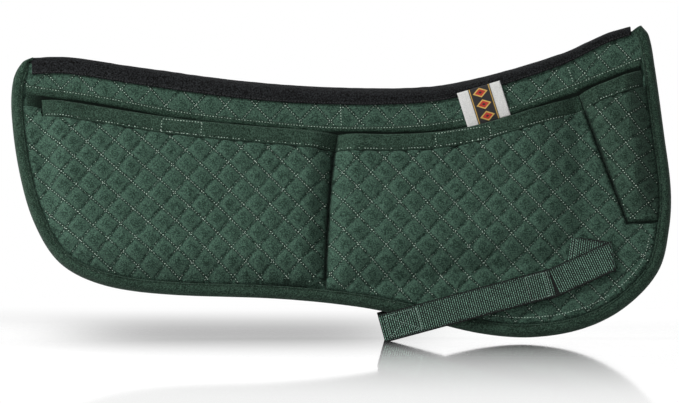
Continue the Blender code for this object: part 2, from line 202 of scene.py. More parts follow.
def cut_out(us, vs, inside):
    """Cloth cut to an outline: squares of a grid whose middles are inside, with the corners along the cut
    moved onto it down the slope of inside. Gives u and v of the corners, and the squares."""
    u, v = np.meshgrid(us, vs)
    middle_u = (u[1:, 1:] + u[:-1, :-1]) / 2
    middle_v = (v[1:, 1:] + v[:-1, :-1]) / 2
    kept = inside(middle_u, middle_v) > 0
    squares = grid_squares(*u.shape)[kept.ravel()]
    uses = np.bincount(squares.ravel(), minlength=u.size)
    rim = np.flatnonzero((uses > 0) & (uses < 4))
    u = u.ravel().copy()
    v = v.ravel().copy()
    reach = 0.2
    for _ in range(3):
        here = inside(u[rim], v[rim])
        slope_u = (inside(u[rim] + reach, v[rim]) - here) / reach
        slope_v = (inside(u[rim], v[rim] + reach) - here) / reach
        steep = np.maximum(slope_u ** 2 + slope_v ** 2, 0.2)
        u[rim] -= np.clip(here * slope_u / steep, -2, 2)
        v[rim] -= np.clip(here * slope_v / steep, -2, 2)
    used = np.flatnonzero(uses)
    renumber = np.zeros(u.size, int)
    renumber[used] = np.arange(len(used))
    return u[used], v[used], renumber[squares]


def paired(first, second):
    """Two coordinates broadcast together and listed as the uv of each point."""
    return np.stack(np.broadcast_arrays(first, second), axis=-1).reshape(-1, 2)


def mesh_piece(name, points, faces, uv, material, values=None):
    """Puts whole arrays into a smooth mesh: points in metres, faces of one size, uv and values by point."""
    mesh = bpy.data.meshes.new(name)
    faces = np.asarray(faces, np.int32)
    mesh.vertices.add(len(points))
    mesh.vertices.foreach_set("co", np.asarray(points, np.float32).ravel())
    mesh.loops.add(faces.size)
    mesh.loops.foreach_set("vertex_index", faces.ravel())
    mesh.polygons.add(len(faces))
    mesh.polygons.foreach_set("loop_start", np.arange(len(faces), dtype=np.int32) * faces.shape[1])
    mesh.update(calc_edges=True)
    mesh.polygons.foreach_set("use_smooth", np.ones(len(faces), bool))
    layer = mesh.uv_layers.new(name="cut")
    layer.data.foreach_set("uv", np.asarray(uv, np.float32)[faces.ravel()].ravel())
    for label, value in (values or {}).items():
        attribute = mesh.attributes.new(label, "FLOAT", "POINT")
        attribute.data.foreach_set("value", np.asarray(value, np.float32))
    mesh.materials.append(material)
    piece = bpy.data.objects.new(name, mesh)
    bpy.context.scene.collection.objects.link(piece)
    return piece


def cloth_piece(name, squares, outer, inner, uv, material, flip=False, **values):
    """Closed cloth: the outer face, the inner face turned over, and a rim along every open side."""
    outer = outer.reshape(-1, 3)
    inner = inner.reshape(-1, 3)
    count = len(outer)
    squares = squares[:, ::-1] if flip else squares
    ways = np.stack([squares, np.roll(squares, -1, axis=1)], axis=2).reshape(-1, 2)
    there = ways[:, 0] * count + ways[:, 1]
    back = ways[:, 1] * count + ways[:, 0]
    a, b = ways[~np.isin(there, back)].T
    rim = np.stack([b, a, a + count, b + count], axis=1)
    faces = np.vstack([squares, squares[:, ::-1] + count, rim])
    doubled = {label: np.tile(value, 2) for label, value in values.items()}
    return mesh_piece(name, np.vstack([outer, inner]), faces, np.tile(uv, (2, 1)), material, doubled)


def side_cloth(name, side, cloth, outer, inner, material, **values):
    """Closed cloth of one side, from its cut and the heights of its two faces over the middle plane."""
    u, v, squares = cloth
    return cloth_piece(name, squares, place(side, u, v, outer), place(side, u, v, inner),
                       np.stack([u, v], axis=1) * MM, material, side == "left", **values)


def line_number(spot, u, v):
    """Number of a quilting line in one even set: distance along the lines' normal, counted in pitches."""
    _, _, degrees, pitch, start = spot
    turn = math.radians(degrees)
    return (u * math.cos(turn) + v * math.sin(turn) - start) / pitch


def phase(lines, u, v):
    """Number of a quilting line at a place, whole on a line: the mean of the even sets of several spots, each
    weighted by how near its spot is."""
    total = 0.0
    weights = 0.0
    for spot in lines:
        at_u, at_v = spot[:2]
        same = round(line_number(lines[0], at_u, at_v) - line_number(spot, at_u, at_v))
        weight = 1 / ((u - at_u) ** 2 + (v - at_v) ** 2 + SPOT_REACH ** 2) ** 2
        total = total + weight * (line_number(spot, u, v) + same)
        weights = weights + weight
    return total / weights


def ripples(u, v, seed, shortest, longest, count=28):
    """Even waves of cloth, about -1 to 1: a sum of sine waves of drawn direction, length and start."""
    draw = np.random.default_rng(seed)
    total = 0.0
    for turn, size, start in draw.random((count, 3)):
        length = shortest * (longest / shortest) ** size
        along = u * math.cos(math.pi * turn) + v * math.sin(math.pi * turn)
        total = total + np.sin(2 * math.pi * (along / length + start))
    return total / math.sqrt(count)


def quilted(u, v, plan, seed):
    """Quilted cloth, three values: puff is 0 on the lines and 1 in the middle of a cell, a power of the
    product of two sine waves; painted shade, highest on a line of the first set and below 0 for a painted
    highlight on the cloth beside every line; and gather, short waves along each line."""
    puff = 1.0
    groove = 0.0
    gather = 0.0
    beside = 0.0
    for lines, painted_shade_weight in zip(plan, GROOVE_SHADES):
        number = phase(lines, u, v)
        turn = math.radians(lines[0][2])
        pitch = lines[0][3]
        puff = puff * np.abs(np.sin(np.pi * number))
        away = np.abs(number - np.round(number)) * pitch
        # Painted shade on each line, and a painted highlight on the cloth beside it
        groove = np.maximum(groove, painted_shade_weight * np.exp(-(away / GROOVE_WIDTH) ** 2))
        beside = np.maximum(beside, np.exp(-((away - LIT_AWAY) / LIT_WIDTH) ** 2))
        along = v * math.cos(turn) - u * math.sin(turn)
        wander = 2.0 * ripples(u, v, seed, 14, 40, 8)
        waves = np.cos(2 * np.pi * along / GATHER_LENGTH + wander)
        gather = gather + waves * np.exp(-away / GATHER_REACH) * np.tanh(away)
    return puff ** PUFF_POWER, groove - LIT_SHARE * beside * (1 - groove), gather


def thread_run(name, middles, along, out, pitch, thick, material):
    """Sewn thread: at each place a bead of ten points, two squares between two tips, long along the seam."""
    out = out - along * (out * along).sum(axis=1, keepdims=True)
    out /= np.linalg.norm(out, axis=1, keepdims=True)
    across = np.cross(along, out)
    ring = [(0.36, 1, 0), (0.36, 0, 1), (0.36, -1, 0), (0.36, 0, -1)]
    bead = np.array([(-0.5, 0, -0.3)] + [(-x, y, z) for x, y, z in ring] + ring + [(0.5, 0, -0.3)], float)
    size = len(bead)
    length = pitch * BEAD_SHARE * MM
    points = (middles[:, None] + along[:, None] * bead[None, :, :1] * length
              + across[:, None] * bead[None, :, 1:2] * thick + out[:, None] * bead[None, :, 2:] * thick)
    faces = []
    for k in range(4):
        m = (k + 1) % 4
        faces += [(0, 1 + k, 1 + m), (1 + k, 5 + k, 5 + m), (1 + k, 5 + m, 1 + m), (9, 5 + m, 5 + k)]
    faces = np.array(faces)
    count = len(middles)
    every = (faces[None] + size * np.arange(count)[:, None, None]).reshape(-1, 3)
    uv = np.tile(bead[:, :2] * MM, (count, 1)) + np.repeat(np.arange(count), size)[:, None] * MM
    return mesh_piece(name, points.reshape(-1, 3), every, uv, material)


def sew(name, side, u, v, du, dv, sunk, height, pitch, thick, material, inner=False):
    """Thread on a side's cloth: stitches at u and v that run along du and dv, laid on the height of the
    cloth, or pulled down into it where sunk is 1."""
    reach = 0.4
    size = np.hypot(du, dv)
    du = du / size * reach
    dv = dv / size * reach
    middle = place(side, u, v, height(u, v))
    ahead = place(side, u + du, v + dv, height(u + du, v + dv))
    along = ahead - place(side, u - du, v - dv, height(u - du, v - dv))
    along /= np.linalg.norm(along, axis=1, keepdims=True)
    out = place(side, u, v, 1.0) - place(side, u, v, 0.0)
    out = -out if inner else out
    out /= np.linalg.norm(out, axis=1, keepdims=True)
    middle = middle + out * thick * (0.35 - 0.5 * sunk[:, None])
    return thread_run(name, middle, along, out, pitch, thick, material)


def stitch_places(line, pitch, start=0.5):
    """Even places along a line of points, one column for each stitch: u, v, the line's direction there as
    du and dv, and sunk, which is 0."""
    line = np.asarray(line, float)
    gone = np.append(0, np.cumsum(np.linalg.norm(np.diff(line, axis=0), axis=1)))
    at = np.arange(pitch * start, gone[-1], pitch)
    u = np.interp(at, gone, line[:, 0])
    v = np.interp(at, gone, line[:, 1])
    ahead_u = np.interp(at + 0.5, gone, line[:, 0])
    ahead_v = np.interp(at + 0.5, gone, line[:, 1])
    before_u = np.interp(at - 0.5, gone, line[:, 0])
    before_v = np.interp(at - 0.5, gone, line[:, 1])
    return np.stack([u, v, ahead_u - before_u, ahead_v - before_v, 0 * u])


def quilting_places(plan, pitch, inside, seed):
    """Places of the stitches on every quilting line where inside is positive: each line starts straight and
    is drawn onto its own number in a few steps, then each stitch strays by about a tenth of a millimetre."""
    found = []
    for lines in plan:
        _, _, degrees, spacing, start = lines[0]
        turn = math.radians(degrees)
        numbers = np.arange(-LINES_EACH_WAY, LINES_EACH_WAY + 1)[:, None]
        along = np.arange(-LINE_REACH, LINE_REACH, pitch)[None, :]
        across = numbers * spacing + start + 0 * along
        for _ in range(8):
            u = across * math.cos(turn) - along * math.sin(turn)
            v = across * math.sin(turn) + along * math.cos(turn)
            across = across - (phase(lines, u, v) - numbers) * spacing
        du = np.gradient(u, axis=1)
        dv = np.gradient(v, axis=1)
        near = (u > FIRST_U) & (u < LAST_U) & (v > -280) & (v < 10)
        u, v, du, dv = u[near], v[near], du[near], dv[near]
        kept = inside(u, v) > 0
        sunk = np.full(kept.sum(), FIRST_SET_SUNK if lines is plan[0] else 0.0)
        found.append(np.stack([u[kept], v[kept], du[kept], dv[kept], sunk]))
    u, v, du, dv, sunk = np.concatenate(found, axis=1)
    draw = np.random.default_rng(seed)
    u = u + draw.normal(0, 0.1, len(u))
    v = v + draw.normal(0, 0.1, len(v))
    return u, v, du + draw.normal(0, 0.06, len(u)), dv + draw.normal(0, 0.06, len(u)), sunk


class Wire:
    """A socket of a material's node tree. Plus, minus, times and over, with a number or a wire on either
    hand, add Math nodes; node() adds any other kind."""

    def __init__(self, tree, socket=None):
        self.tree = tree
        self.socket = socket

    def node(self, kind, settings=(), sockets=(), output=0):
        """Adds a node, sets its settings, then joins or sets its sockets, and gives one of its outputs."""
        added = self.tree.nodes.new("ShaderNode" + kind)
        for name, value in dict(settings).items():
            setattr(added, name, value)
        for name, value in dict(sockets).items():
            if isinstance(value, Wire):
                self.tree.links.new(value.socket, added.inputs[name])
            else:
                added.inputs[name].default_value = value
        return Wire(self.tree, added.outputs[output] if len(added.outputs) else None)

    def also(self, output):
        """Another output of the same node."""
        return Wire(self.tree, self.socket.node.outputs[output])

    def maths(self, operation, *values, clamp=False):
        """A Math node on one or two values."""
        return self.node("Math", {"operation": operation, "use_clamp": clamp}, dict(enumerate(values)))

    def __add__(self, other):
        return self.maths("ADD", self, other)

    def __sub__(self, other):
        return self.maths("SUBTRACT", self, other)

    def __rsub__(self, other):
        return self.maths("SUBTRACT", other, self)

    def __mul__(self, other):
        return self.maths("MULTIPLY", self, other)

    def __truediv__(self, other):
        return self.maths("DIVIDE", self, other)

    def __rtruediv__(self, other):
        return self.maths("DIVIDE", other, self)

    __radd__ = __add__
    __rmul__ = __mul__

    def sine(self):
        """Sine of a value, as an angle."""
        return self.maths("SINE", self)

    def held(self):
        """Keeps a value between 0 and 1."""
        return self.maths("ADD", self, 0.0, clamp=True)

    def size(self):
        """A value without its sign."""
        return self.maths("ABSOLUTE", self)

    def noise(self, spot, scale, detail=2.0):
        """Soft noise from 0 to 1, with so many waves to a metre."""
        return self.node("TexNoise", {"noise_dimensions": "3D"},
                         {"Vector": spot, "Scale": scale, "Detail": detail, "Roughness": 0.55}, "Fac")

    def cut_places(self):
        """The two coordinates of a piece's own flat cut, in metres."""
        parts = self.node("SeparateXYZ", sockets={0: self.node("UVMap", {"uv_map": "cut"})})
        return parts, parts.also(1)

    def value_of(self, name):
        """A value that the mesh carries for each point."""
        return self.node("Attribute", {"attribute_name": name}, output="Fac")

    def mixed(self, share, first, second):
        """The first colour, mixed with the second by a share."""
        return self.node("Mix", {"data_type": "RGBA"}, {0: share, 6: first, 7: second}, 2)


def colour_of(value, times=1.0, plus=0.0):
    """A colour with its alpha, made lighter or darker."""
    return (*(times * part + plus for part in value), 1.0)


def new_material(name):
    """An empty material, and a wire that adds nodes to it."""
    material = bpy.data.materials.new(name)
    material.use_nodes = True
    material.node_tree.nodes.clear()
    return material, Wire(material.node_tree)


def dress(wire, colour, roughness, height, depth, **finish):
    """Joins a colour, a roughness and a height to one principled shader, and sets its other sockets."""
    bump = wire.node("Bump", sockets={"Height": height, "Distance": depth, "Strength": 1.0})
    sockets = {"Base Color": colour, "Roughness": roughness, "Normal": bump}
    sockets.update({name.replace("_", " "): value for name, value in finish.items()})
    shader = wire.node("BsdfPrincipled", sockets=sockets)
    wire.node("OutputMaterial", sockets={"Surface": shader})


def cotton(name, colour, groove_share, speckle, roughness=0.62):
    """Dyed cotton twill: fine diagonal ribs across the cut, uneven dye in soft patches and short pale fibres,
    with a painted highlight on the cloth beside the stitched lines and painted shade in its grooves, seams
    and pocket mouths, as the mesh's values give."""
    material, wire = new_material(name)
    u, v = wire.cut_places()
    body = wire.node("TexCoord", output="Object")
    twill = ((u + v) * (2 * math.pi / TWILL_PITCH)).sine()
    yarn = ((u - v) * (2 * math.pi / YARN_PITCH)).sine()
    fibres = wire.noise(body, 980.0, 2.0)
    patches = wire.noise(body, 45.0, 3.0)
    creases = wire.noise(body, 260.0, 4.0)
    groove = wire.value_of("groove")
    dark = colour_of(colour, 0.42)
    light = colour_of(colour, 1.85, 0.010)
    # Painted highlight on the cloth beside the lines of quilting: paler colour and more pale fibres there
    painted_highlight = (groove * -1.0).held()
    flecks = (fibres - 0.5) * speckle * (painted_highlight * 2.4 + 1.0)
    grain = flecks + (patches - 0.5) * 0.6 + (creases - 0.5) * 0.45 + twill * 0.05 + 0.35
    dyed = wire.mixed(grain.held(), dark, light)
    toned_colour = wire.mixed(painted_highlight * 0.8, dyed, colour_of(colour, 1.75, 0.012))
    # Painted shade: near black in the grooves and seams and wherever else the mesh's values call for it
    shade = wire.mixed((groove * groove_share).held(), toned_colour, colour_of(colour, 0.06))
    rough = (fibres - 0.5) * 0.25 + roughness
    height = twill * 0.18 + yarn * 0.10 + fibres * 0.9 + creases * 1.1
    dress(wire, shade, rough.held(), height, 0.00022, Sheen_Weight=0.05, Sheen_Roughness=0.4,
          Sheen_Tint=colour_of((0.80, 0.95, 0.88)), Specular_IOR_Level=0.07)
    return material


def sewing_thread(name, colour):
    """Spun sewing thread: two plies wound round each other, with a soft shine."""
    material, wire = new_material(name)
    body = wire.node("TexCoord", output="Object")
    plies = wire.noise(body, 2600.0, 1.0)
    shade = wire.mixed(plies, colour_of(colour, 0.6), colour_of(colour, 1.3))
    dress(wire, shade, plies * 0.2 + 0.5, plies, 0.00008, Specular_IOR_Level=0.3)
    return material


# Two sets of lines, as they run at a few spots: u, v, turn of the lines' normal in degrees, pitch, start
REAR_QUILTING = [
    [(-183.4, -150.4, 136.1, 17.32, 12.21), (-237.8, -138.6, 137.1, 17.58, 16.42),
     (-129.9, -160.4, 135.1, 17.42, 8.80)],
    [(-183.4, -150.4, 43.9, 17.06, 5.73), (-237.8, -138.6, 45.4, 17.07, 6.53),
     (-129.9, -160.4, 40.9, 16.86, 3.38)],
]
LINING_QUILTING = [[spots[0]] for spots in REAR_QUILTING]
LINING_PITCH = 3.6
LINING_PUFF = 1.0
LINING_THREAD = 0.22
LINING_SEED = 11
EDGE_FLAT = 12.0

lining_cotton = cotton("lining_cotton", LINING_GREEN, groove_share=0.6, speckle=1.8, roughness=0.75)
green_thread = sewing_thread("green_thread", THREAD_GREEN)

lining_cut = cut_out(
    np.arange(FIRST_U, LAST_U, LINING_STEP), np.arange(0.0, LOWEST_V, -LINING_STEP), layer_inside)


def lining_face(u, v):
    """Height of the lining's face: hollow along the quilting, which flattens out towards the edge."""
    puff, _, _ = quilted(u, v, LINING_QUILTING, LINING_SEED)
    return LINING[0] + LINING_PUFF * (1 - puff) * np.clip(layer_inside(u, v) / EDGE_FLAT, 0, 1)


u, v, _ = lining_cut
puff, groove, gather = quilted(u, v, LINING_QUILTING, LINING_SEED)
edge_share = np.clip(layer_inside(u, v) / EDGE_FLAT, 0, 1)
lining_hollow = LINING_PUFF * (1 - puff) * edge_share - 0.12 * gather
lining_stitches = quilting_places(LINING_QUILTING, LINING_PITCH, lambda u, v: layer_inside(u, v) - 9, 12)

for side in SIDES:
    lining = side_cloth(f"{side}_quilted_lining", side, lining_cut, np.full(len(u), LINING[1] + 0.2),
                        LINING[0] + np.maximum(lining_hollow, 0), lining_cotton, groove=groove)
    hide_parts(f"{side}_lining")
    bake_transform(lining)
    thread = sew(f"{side}_lining_thread", side, *lining_stitches, lining_face, LINING_PITCH,
                 LINING_THREAD * MM, green_thread, inner=True)
    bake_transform(thread)


# Wadding.
# Needled white polyester fibre between the lining and the cover, held flat by the quilting.

WADDING = (3.6, 8.3)
WADDING_STEP = 4.0
WADDING_WHITE = (0.74, 0.73, 0.70)


def fibre_fill(name, colour):
    """Needled fibre: soft clumps with fine crossing hairs."""
    material, wire = new_material(name)
    body = wire.node("TexCoord", output="Object")
    clumps = wire.noise(body, 140.0, 4.0)
    hairs = wire.noise(body, 1800.0, 2.0)
    shade = wire.mixed((clumps * 0.6 + hairs * 0.4).held(), colour_of(colour, 0.8), colour_of(colour))
    dress(wire, shade, hairs * 0.1 + 0.88, clumps + hairs * 0.5, 0.0006, Sheen_Weight=0.4)
    return material


wadding_fibre = fibre_fill("wadding_fibre", WADDING_WHITE)
wadding_cut = cut_out(
    np.arange(FIRST_U, LAST_U, WADDING_STEP), np.arange(0.0, LOWEST_V, -WADDING_STEP), layer_inside)
u, v, _ = wadding_cut
puff, _, _ = quilted(u, v, LINING_QUILTING, LINING_SEED)
for side in SIDES:
    wadding = side_cloth(f"{side}_wadding", side, wadding_cut, WADDING[1] - 0.5 * (1 - puff),
                         WADDING[0] + 0.6 * (1 - puff), wadding_fibre)
    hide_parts(f"{side}_base_wadding")
    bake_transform(wadding)


# Quilted cover.
# The outer cotton of the base, seen between the spine tape and the facing band.
# Quilted in larger, flatter diamonds with pale thread before the pockets are sewn on.

COVER = (8.6, 9.5)
COVER_HOLLOW = 0.8
COVER_STEP = 1.7
POCKETS_TOP = -95.0
SEEN_ROWS = 1.5
HIDDEN_ROWS = 4.5
STITCH = 2.54
THREAD = 0.26
QUILTED_GREEN = (0.0205, 0.0440, 0.0310)
BAND_TOP = [(-322, -27), (-255, -41), (-186, -58), (-100, -73), (-43, -80), (22, -81.5), (65, -77),
            (118, -66), (159, -52), (222, -30)]
COVER_QUILTING = [[(0, -60, 134.6, 19.31, 5.64)], [(0, -60, 39.4, 19.26, 6.02)]]
COVER_SEED = 21
BAND_TOP_LINE = smooth_line(BAND_TOP)
SEAM_ROWS = [[(-46.5, -92.0), (-46.0, -50.0)], [(166.0, -78.0), (152.5, -32.0)]]


def band_top(u):
    """Level of the facing band's upper edge."""
    return np.interp(u, BAND_TOP_LINE[:, 0], BAND_TOP_LINE[:, 1])


def rows_within(lines, inside):
    """Stitches along straight rows, only where inside is positive."""
    found = np.concatenate([stitch_places(line, STITCH) for line in lines], axis=1)
    return found[:, inside(found[0], found[1]) > 0]


def cover_face(u, v):
    """Height of the cover: its quilting, and a little of the gathers."""
    puff, _, gather = quilted(u, v, COVER_QUILTING, COVER_SEED)
    return COVER[1] - COVER_HOLLOW * (1 - puff) + 0.10 * gather


def above_band(u, v):
    """Distance inside the part of the cover that is quilted: between the tape and the facing band."""
    return np.minimum(layer_inside(u, v) - 6, v - band_top(u))


quilted_cotton = cotton("quilted_cotton", QUILTED_GREEN, groove_share=0.82, speckle=5.0)

# Fine rows down to the pockets and coarse ones where the pockets hide the cover
cover_rows = np.append(
    np.arange(0.0, POCKETS_TOP, -SEEN_ROWS), np.arange(POCKETS_TOP, LOWEST_V, -HIDDEN_ROWS))
cover_cut = cut_out(np.arange(FIRST_U, LAST_U, COVER_STEP), cover_rows, layer_inside)
u, v, _ = cover_cut
_, groove, _ = quilted(u, v, COVER_QUILTING, COVER_SEED)
cover_stitches = np.concatenate(
    [quilting_places(COVER_QUILTING, STITCH, above_band, 22), rows_within(SEAM_ROWS, above_band)], axis=1)

for side in SIDES:
    outer = cover_face(u, v) + 0.14 * ripples(u, v, 23 + int(SIDES[side]), 6, 26)
    cover = side_cloth(f"{side}_quilted_cover", side, cover_cut, np.minimum(outer, COVER[1] + 0.15),
                       np.full(len(u), COVER[0] - 0.1), quilted_cotton, groove=groove)
    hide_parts(f"{side}_base_cover")
    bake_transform(cover)
    thread = sew(f"{side}_cover_thread", side, *cover_stitches, cover_face, STITCH, THREAD * MM, green_thread)
    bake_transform(thread)


# Facing band.
# Plain cotton strip sewn across each side above the pocket mouths; its lower part turns in and lines them.
# One row of stitches holds its folded upper edge.

BAND = (9.7, 10.6)
BAND_ENDS = (-320.0, 219.0)
POCKET_BACK = 10.0
HEM = 15.0
LINE_OF_SIGHT = 3.2
PLAIN_GREEN = (0.0150, 0.0325, 0.0218)
MOUTH = [(-322, -39), (-255, -54), (-186, -68.5), (-100, -81.5), (-40, -89.5), (22, -92.5), (65, -89),
         (118, -76.5), (165, -62.5), (222, -43)]
MOUTH_LINE = smooth_line(MOUTH)
MOUTH_GAP = [(-320, 1.3), (-304, 1.0), (-290, 1.6), (-270, 2.6), (-235, 2.6), (-215, 1.4), (-200, 0.4),
             (-60, 0.3), (-50, 1.5), (-30, 2.2), (0, 2.0), (30, 1.3), (60, 0.9), (110, 1.1), (150, 1.3),
             (160, 0.6), (164, 2.2), (190, 3.0), (214, 2.0)]
BAND_ROWS = 26
BAND_STEP = 1.4


def mouth(u):
    """Level of the pocket mouths, which is the hems' upper edge."""
    return np.interp(u, MOUTH_LINE[:, 0], MOUTH_LINE[:, 1])


def soft_step(value):
    """0 below 0, 1 above 1, and a smooth S between."""
    t = np.clip(value, 0, 1)
    return t * t * (3 - 2 * t)


def band_fold(u):
    """Lower edge of the band where it turns into the pocket: above the mouth by the part that a hem hides and
    by the gap."""
    gaps = np.array(MOUTH_GAP)
    return mouth(u) + LINE_OF_SIGHT + np.interp(u, gaps[:, 0], gaps[:, 1])


def band_face(u, v):
    """Height of the band: rounded off at both edges, rolled above its lower fold, and sewn in by its top."""
    below_top = band_top(u) - v
    above_fold = v - band_fold(u)
    out = POCKET_BACK + (BAND[1] - POCKET_BACK) * soft_step((above_fold + 0.4) / 1.1)
    out = out + 0.35 * np.exp(-((above_fold - 2.0) / 1.6) ** 2)
    out = out - 0.30 * np.exp(-((below_top - 1.6) / 0.7) ** 2) - 0.6 * (1 - soft_step(below_top / 0.8))
    return out


plain_cotton = cotton("plain_cotton", PLAIN_GREEN, groove_share=0.92, speckle=4.2)

columns = np.arange(*BAND_ENDS, BAND_STEP)
rows = np.linspace(0, 1, BAND_ROWS)[:, None]
u = np.broadcast_to(columns, (BAND_ROWS, len(columns))).ravel()
v = (band_top(columns) + (mouth(columns) - HEM - band_top(columns)) * rows).ravel()
band_cut = (u, v, grid_squares(BAND_ROWS, len(columns)))
# Painted shade on the band below its lower fold, where the pocket mouth opens, weaker towards the rear end
mouth_painted_shade = (1 - soft_step((v - band_fold(u) + 0.5) / 0.9)) * (0.35 + 0.65 * soft_step((u + 322) / 16))
band_row = stitch_places(np.stack([columns, band_top(columns) - 1.6], axis=1), STITCH)
band_rows = rows_within(SEAM_ROWS, lambda u, v: np.minimum(band_top(u) - 3 - v, v - band_fold(u) - 1))
band_row = np.concatenate([band_row, band_rows], axis=1)
for side in SIDES:
    waves = 0.13 * ripples(u, v, 31 + int(SIDES[side]), 5, 22) * (1 - mouth_painted_shade)
    pulled = 0.16 * np.sin(2 * np.pi * u / 6.1 + 2 * ripples(u, 0 * v, 33, 20, 60, 6))
    pulled = pulled * np.exp(-((band_top(u) - v - 2.5) / 2.5) ** 2)
    band = side_cloth(f"{side}_facing", side, band_cut, band_face(u, v) + waves + pulled,
                      np.full(len(u), BAND[0]), plain_cotton, groove=mouth_painted_shade)
    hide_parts(f"{side}_facing_band")
    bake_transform(band)
    thread = sew(f"{side}_facing_thread", side, *band_row, band_face, STITCH, THREAD * MM, green_thread)
    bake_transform(thread)


# Edge binding.
# Bias-cut plain cotton folded round the rear, lower and front edges of each side, over all its layers.
# One row of stitches, by its inner edge, goes through both faces; its ends meet over the fold.

BINDING_SECTION = [(9.2, 11.2), (9.0, 11.75), (8.4, 12.05), (7.6, 11.8), (6.7, 12.3), (5.2, 12.55),
                   (3.3, 12.2), (1.7, 10.9), (0.5, 8.7), (0.0, 6.2), (0.5, 3.6), (1.7, 1.5), (3.3, 0.6),
                   (5.2, 0.4), (6.9, 0.5), (7.6, 0.9), (8.6, 0.7), (9.6, 1.0)]
BINDING_LIFT = [(-52, 0.0), (-42, -0.75), (-31, -0.75), (-24, -1.75)]
BINDING_ROW = 7.6
BINDING_ROW_HEIGHTS = (0.75, 12.0)
BINDING_ROW_TOP = -14.0
BINDING_CLOTH = 0.6
CAP_RISE = -1.2
CAP_STEPS = 8

section = smooth_line(BINDING_SECTION, 3)
section_inner = section + turned_right(section) * BINDING_CLOTH
edge_fine = smooth_line(EDGE, 34)
edge_fine_inward = turned_right(edge_fine)
edge_run = np.append(0, np.cumsum(np.linalg.norm(np.diff(edge_fine, axis=0), axis=1)))


def binding_lift(v):
    """How far the binding's outer face comes down towards the spine."""
    return np.interp(v, *zip(*BINDING_LIFT))


def binding_face(u, v):
    """Height of the outer row of stitches."""
    return BINDING_ROW_HEIGHTS[1] + binding_lift(v)


def bound(depth, out, seed):
    """Binding's surface: a section of depth and height carried along the edge, pulled in between stitches."""
    outer_share = soft_step((out - 5) / 4)
    n = out[:, None] + binding_lift(edge_fine[:, 1])[None] * outer_share[:, None]
    draw = ripples(edge_run[None] + 0 * n, 40 * depth[:, None] + 0 * n, seed, 9, 60, 16)
    slant = np.sin(2 * np.pi * (edge_run[None] + 0.9 * depth[:, None]) / 5.1 + 1.5 * draw)
    near_row = np.exp(-((depth[:, None] - 6.8) / 2.4) ** 2)
    n = n + (0.15 * slant * near_row + 0.12 * draw * soft_step((9.6 - depth[:, None]) / 3)) * np.sign(n - 6)
    reach = depth[:, None] * (1 - 0.72 * soft_step((edge_run - edge_run[-1] + 20) / 20)[None])
    u = edge_fine[None, :, 0] + edge_fine_inward[None, :, 0] * reach
    v = edge_fine[None, :, 1] + edge_fine_inward[None, :, 1] * reach
    return u, v, n


def capped(side, u, v, n):
    """Runs both ends of the binding over the fold to the middle plane, on a quarter ellipse of low rise."""
    across = n * math.cos(LEAN) - v * math.sin(LEAN)
    up = v * math.cos(LEAN) + n * math.sin(LEAN)
    angles = np.linspace(math.pi / 2, 0, CAP_STEPS, endpoint=False)[None]
    ends = []
    for column in (0, -1):
        y = across[:, column, None]
        x = u[:, column, None] + 0 * angles
        ends.append((x, y * np.cos(angles), up[:, column, None] + CAP_RISE * y / 11 * np.sin(angles)))
    x, y, z = (np.hstack([first, middle, last[:, ::-1]])
               for first, middle, last in zip(ends[0], (u, across, up), ends[1]))
    return stand(x, SIDES[side] * y, z)


binding_row = EDGE_PATH + EDGE_INWARD * BINDING_ROW
binding_row = stitch_places(binding_row[binding_row[:, 1] < BINDING_ROW_TOP], STITCH)
gone = np.concatenate([np.full(CAP_STEPS, -2.0), edge_run, np.full(CAP_STEPS, edge_run[-1] + 2)])
# Painted shade along the binding's row of stitches
row_groove = 0.5 * np.exp(-((section[:, 0] - BINDING_ROW) / 0.6) ** 2)
for side in SIDES:
    seed = 41 + int(SIDES[side])
    outer = capped(side, *bound(*section.T, seed))
    inner = capped(side, *bound(*section_inner.T, seed))
    rows, columns = outer.shape[:2]
    uv = paired(gone[None], np.cumsum(np.full(rows, 0.9))[:, None]) * MM
    binding = cloth_piece(f"{side}_binding", grid_squares(rows, columns), outer, inner, uv, plain_cotton,
                          side == "right", groove=np.repeat(row_groove, columns))
    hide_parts(f"{side}_edge_binding")
    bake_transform(binding)
    thread = sew(f"{side}_binding_thread", side, *binding_row, binding_face, STITCH, THREAD * MM,
                 green_thread)
    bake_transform(thread)
    thread = sew(f"{side}_binding_inner_thread", side, *binding_row,
                 lambda u, v: BINDING_ROW_HEIGHTS[0] + 0 * u, STITCH, THREAD * MM, green_thread, inner=True)
    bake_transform(thread)


# Spine tapes.
# A coarse black woven tape folded over the fold and sewn down along both edges, and a narrow green tape
# that covers the seam between the two linings on the underside.

TAPE_OUT = 9.9
TAPE_LEG = (11.0, 4.0)
TAPE_CLEAR = 0.4
SEAM_TAPE_OUT = 1.3
SEAM_TAPE_LEG = 12.0
SEAM_TAPE_RISE = 1.5
SEAM_TAPE_DROP = 1.0
SEAM_TAPE_CLOTH = 0.7
TAPE_STEP = 1.5
TAPE_ROW = 1.3
TAPE_BLACK = (0.003, 0.003, 0.0028)
TAPE_FIBRES = (0.027, 0.029, 0.031)
TAPE_YARN = 0.0009
SEAM_TAPE_GREEN = (0.012, 0.032, 0.022)
SEAM_TAPE_FIBRES = (0.03, 0.07, 0.05)
SEAM_TAPE_YARN = 0.0006
THREAD_BLACK = (0.03, 0.03, 0.03)


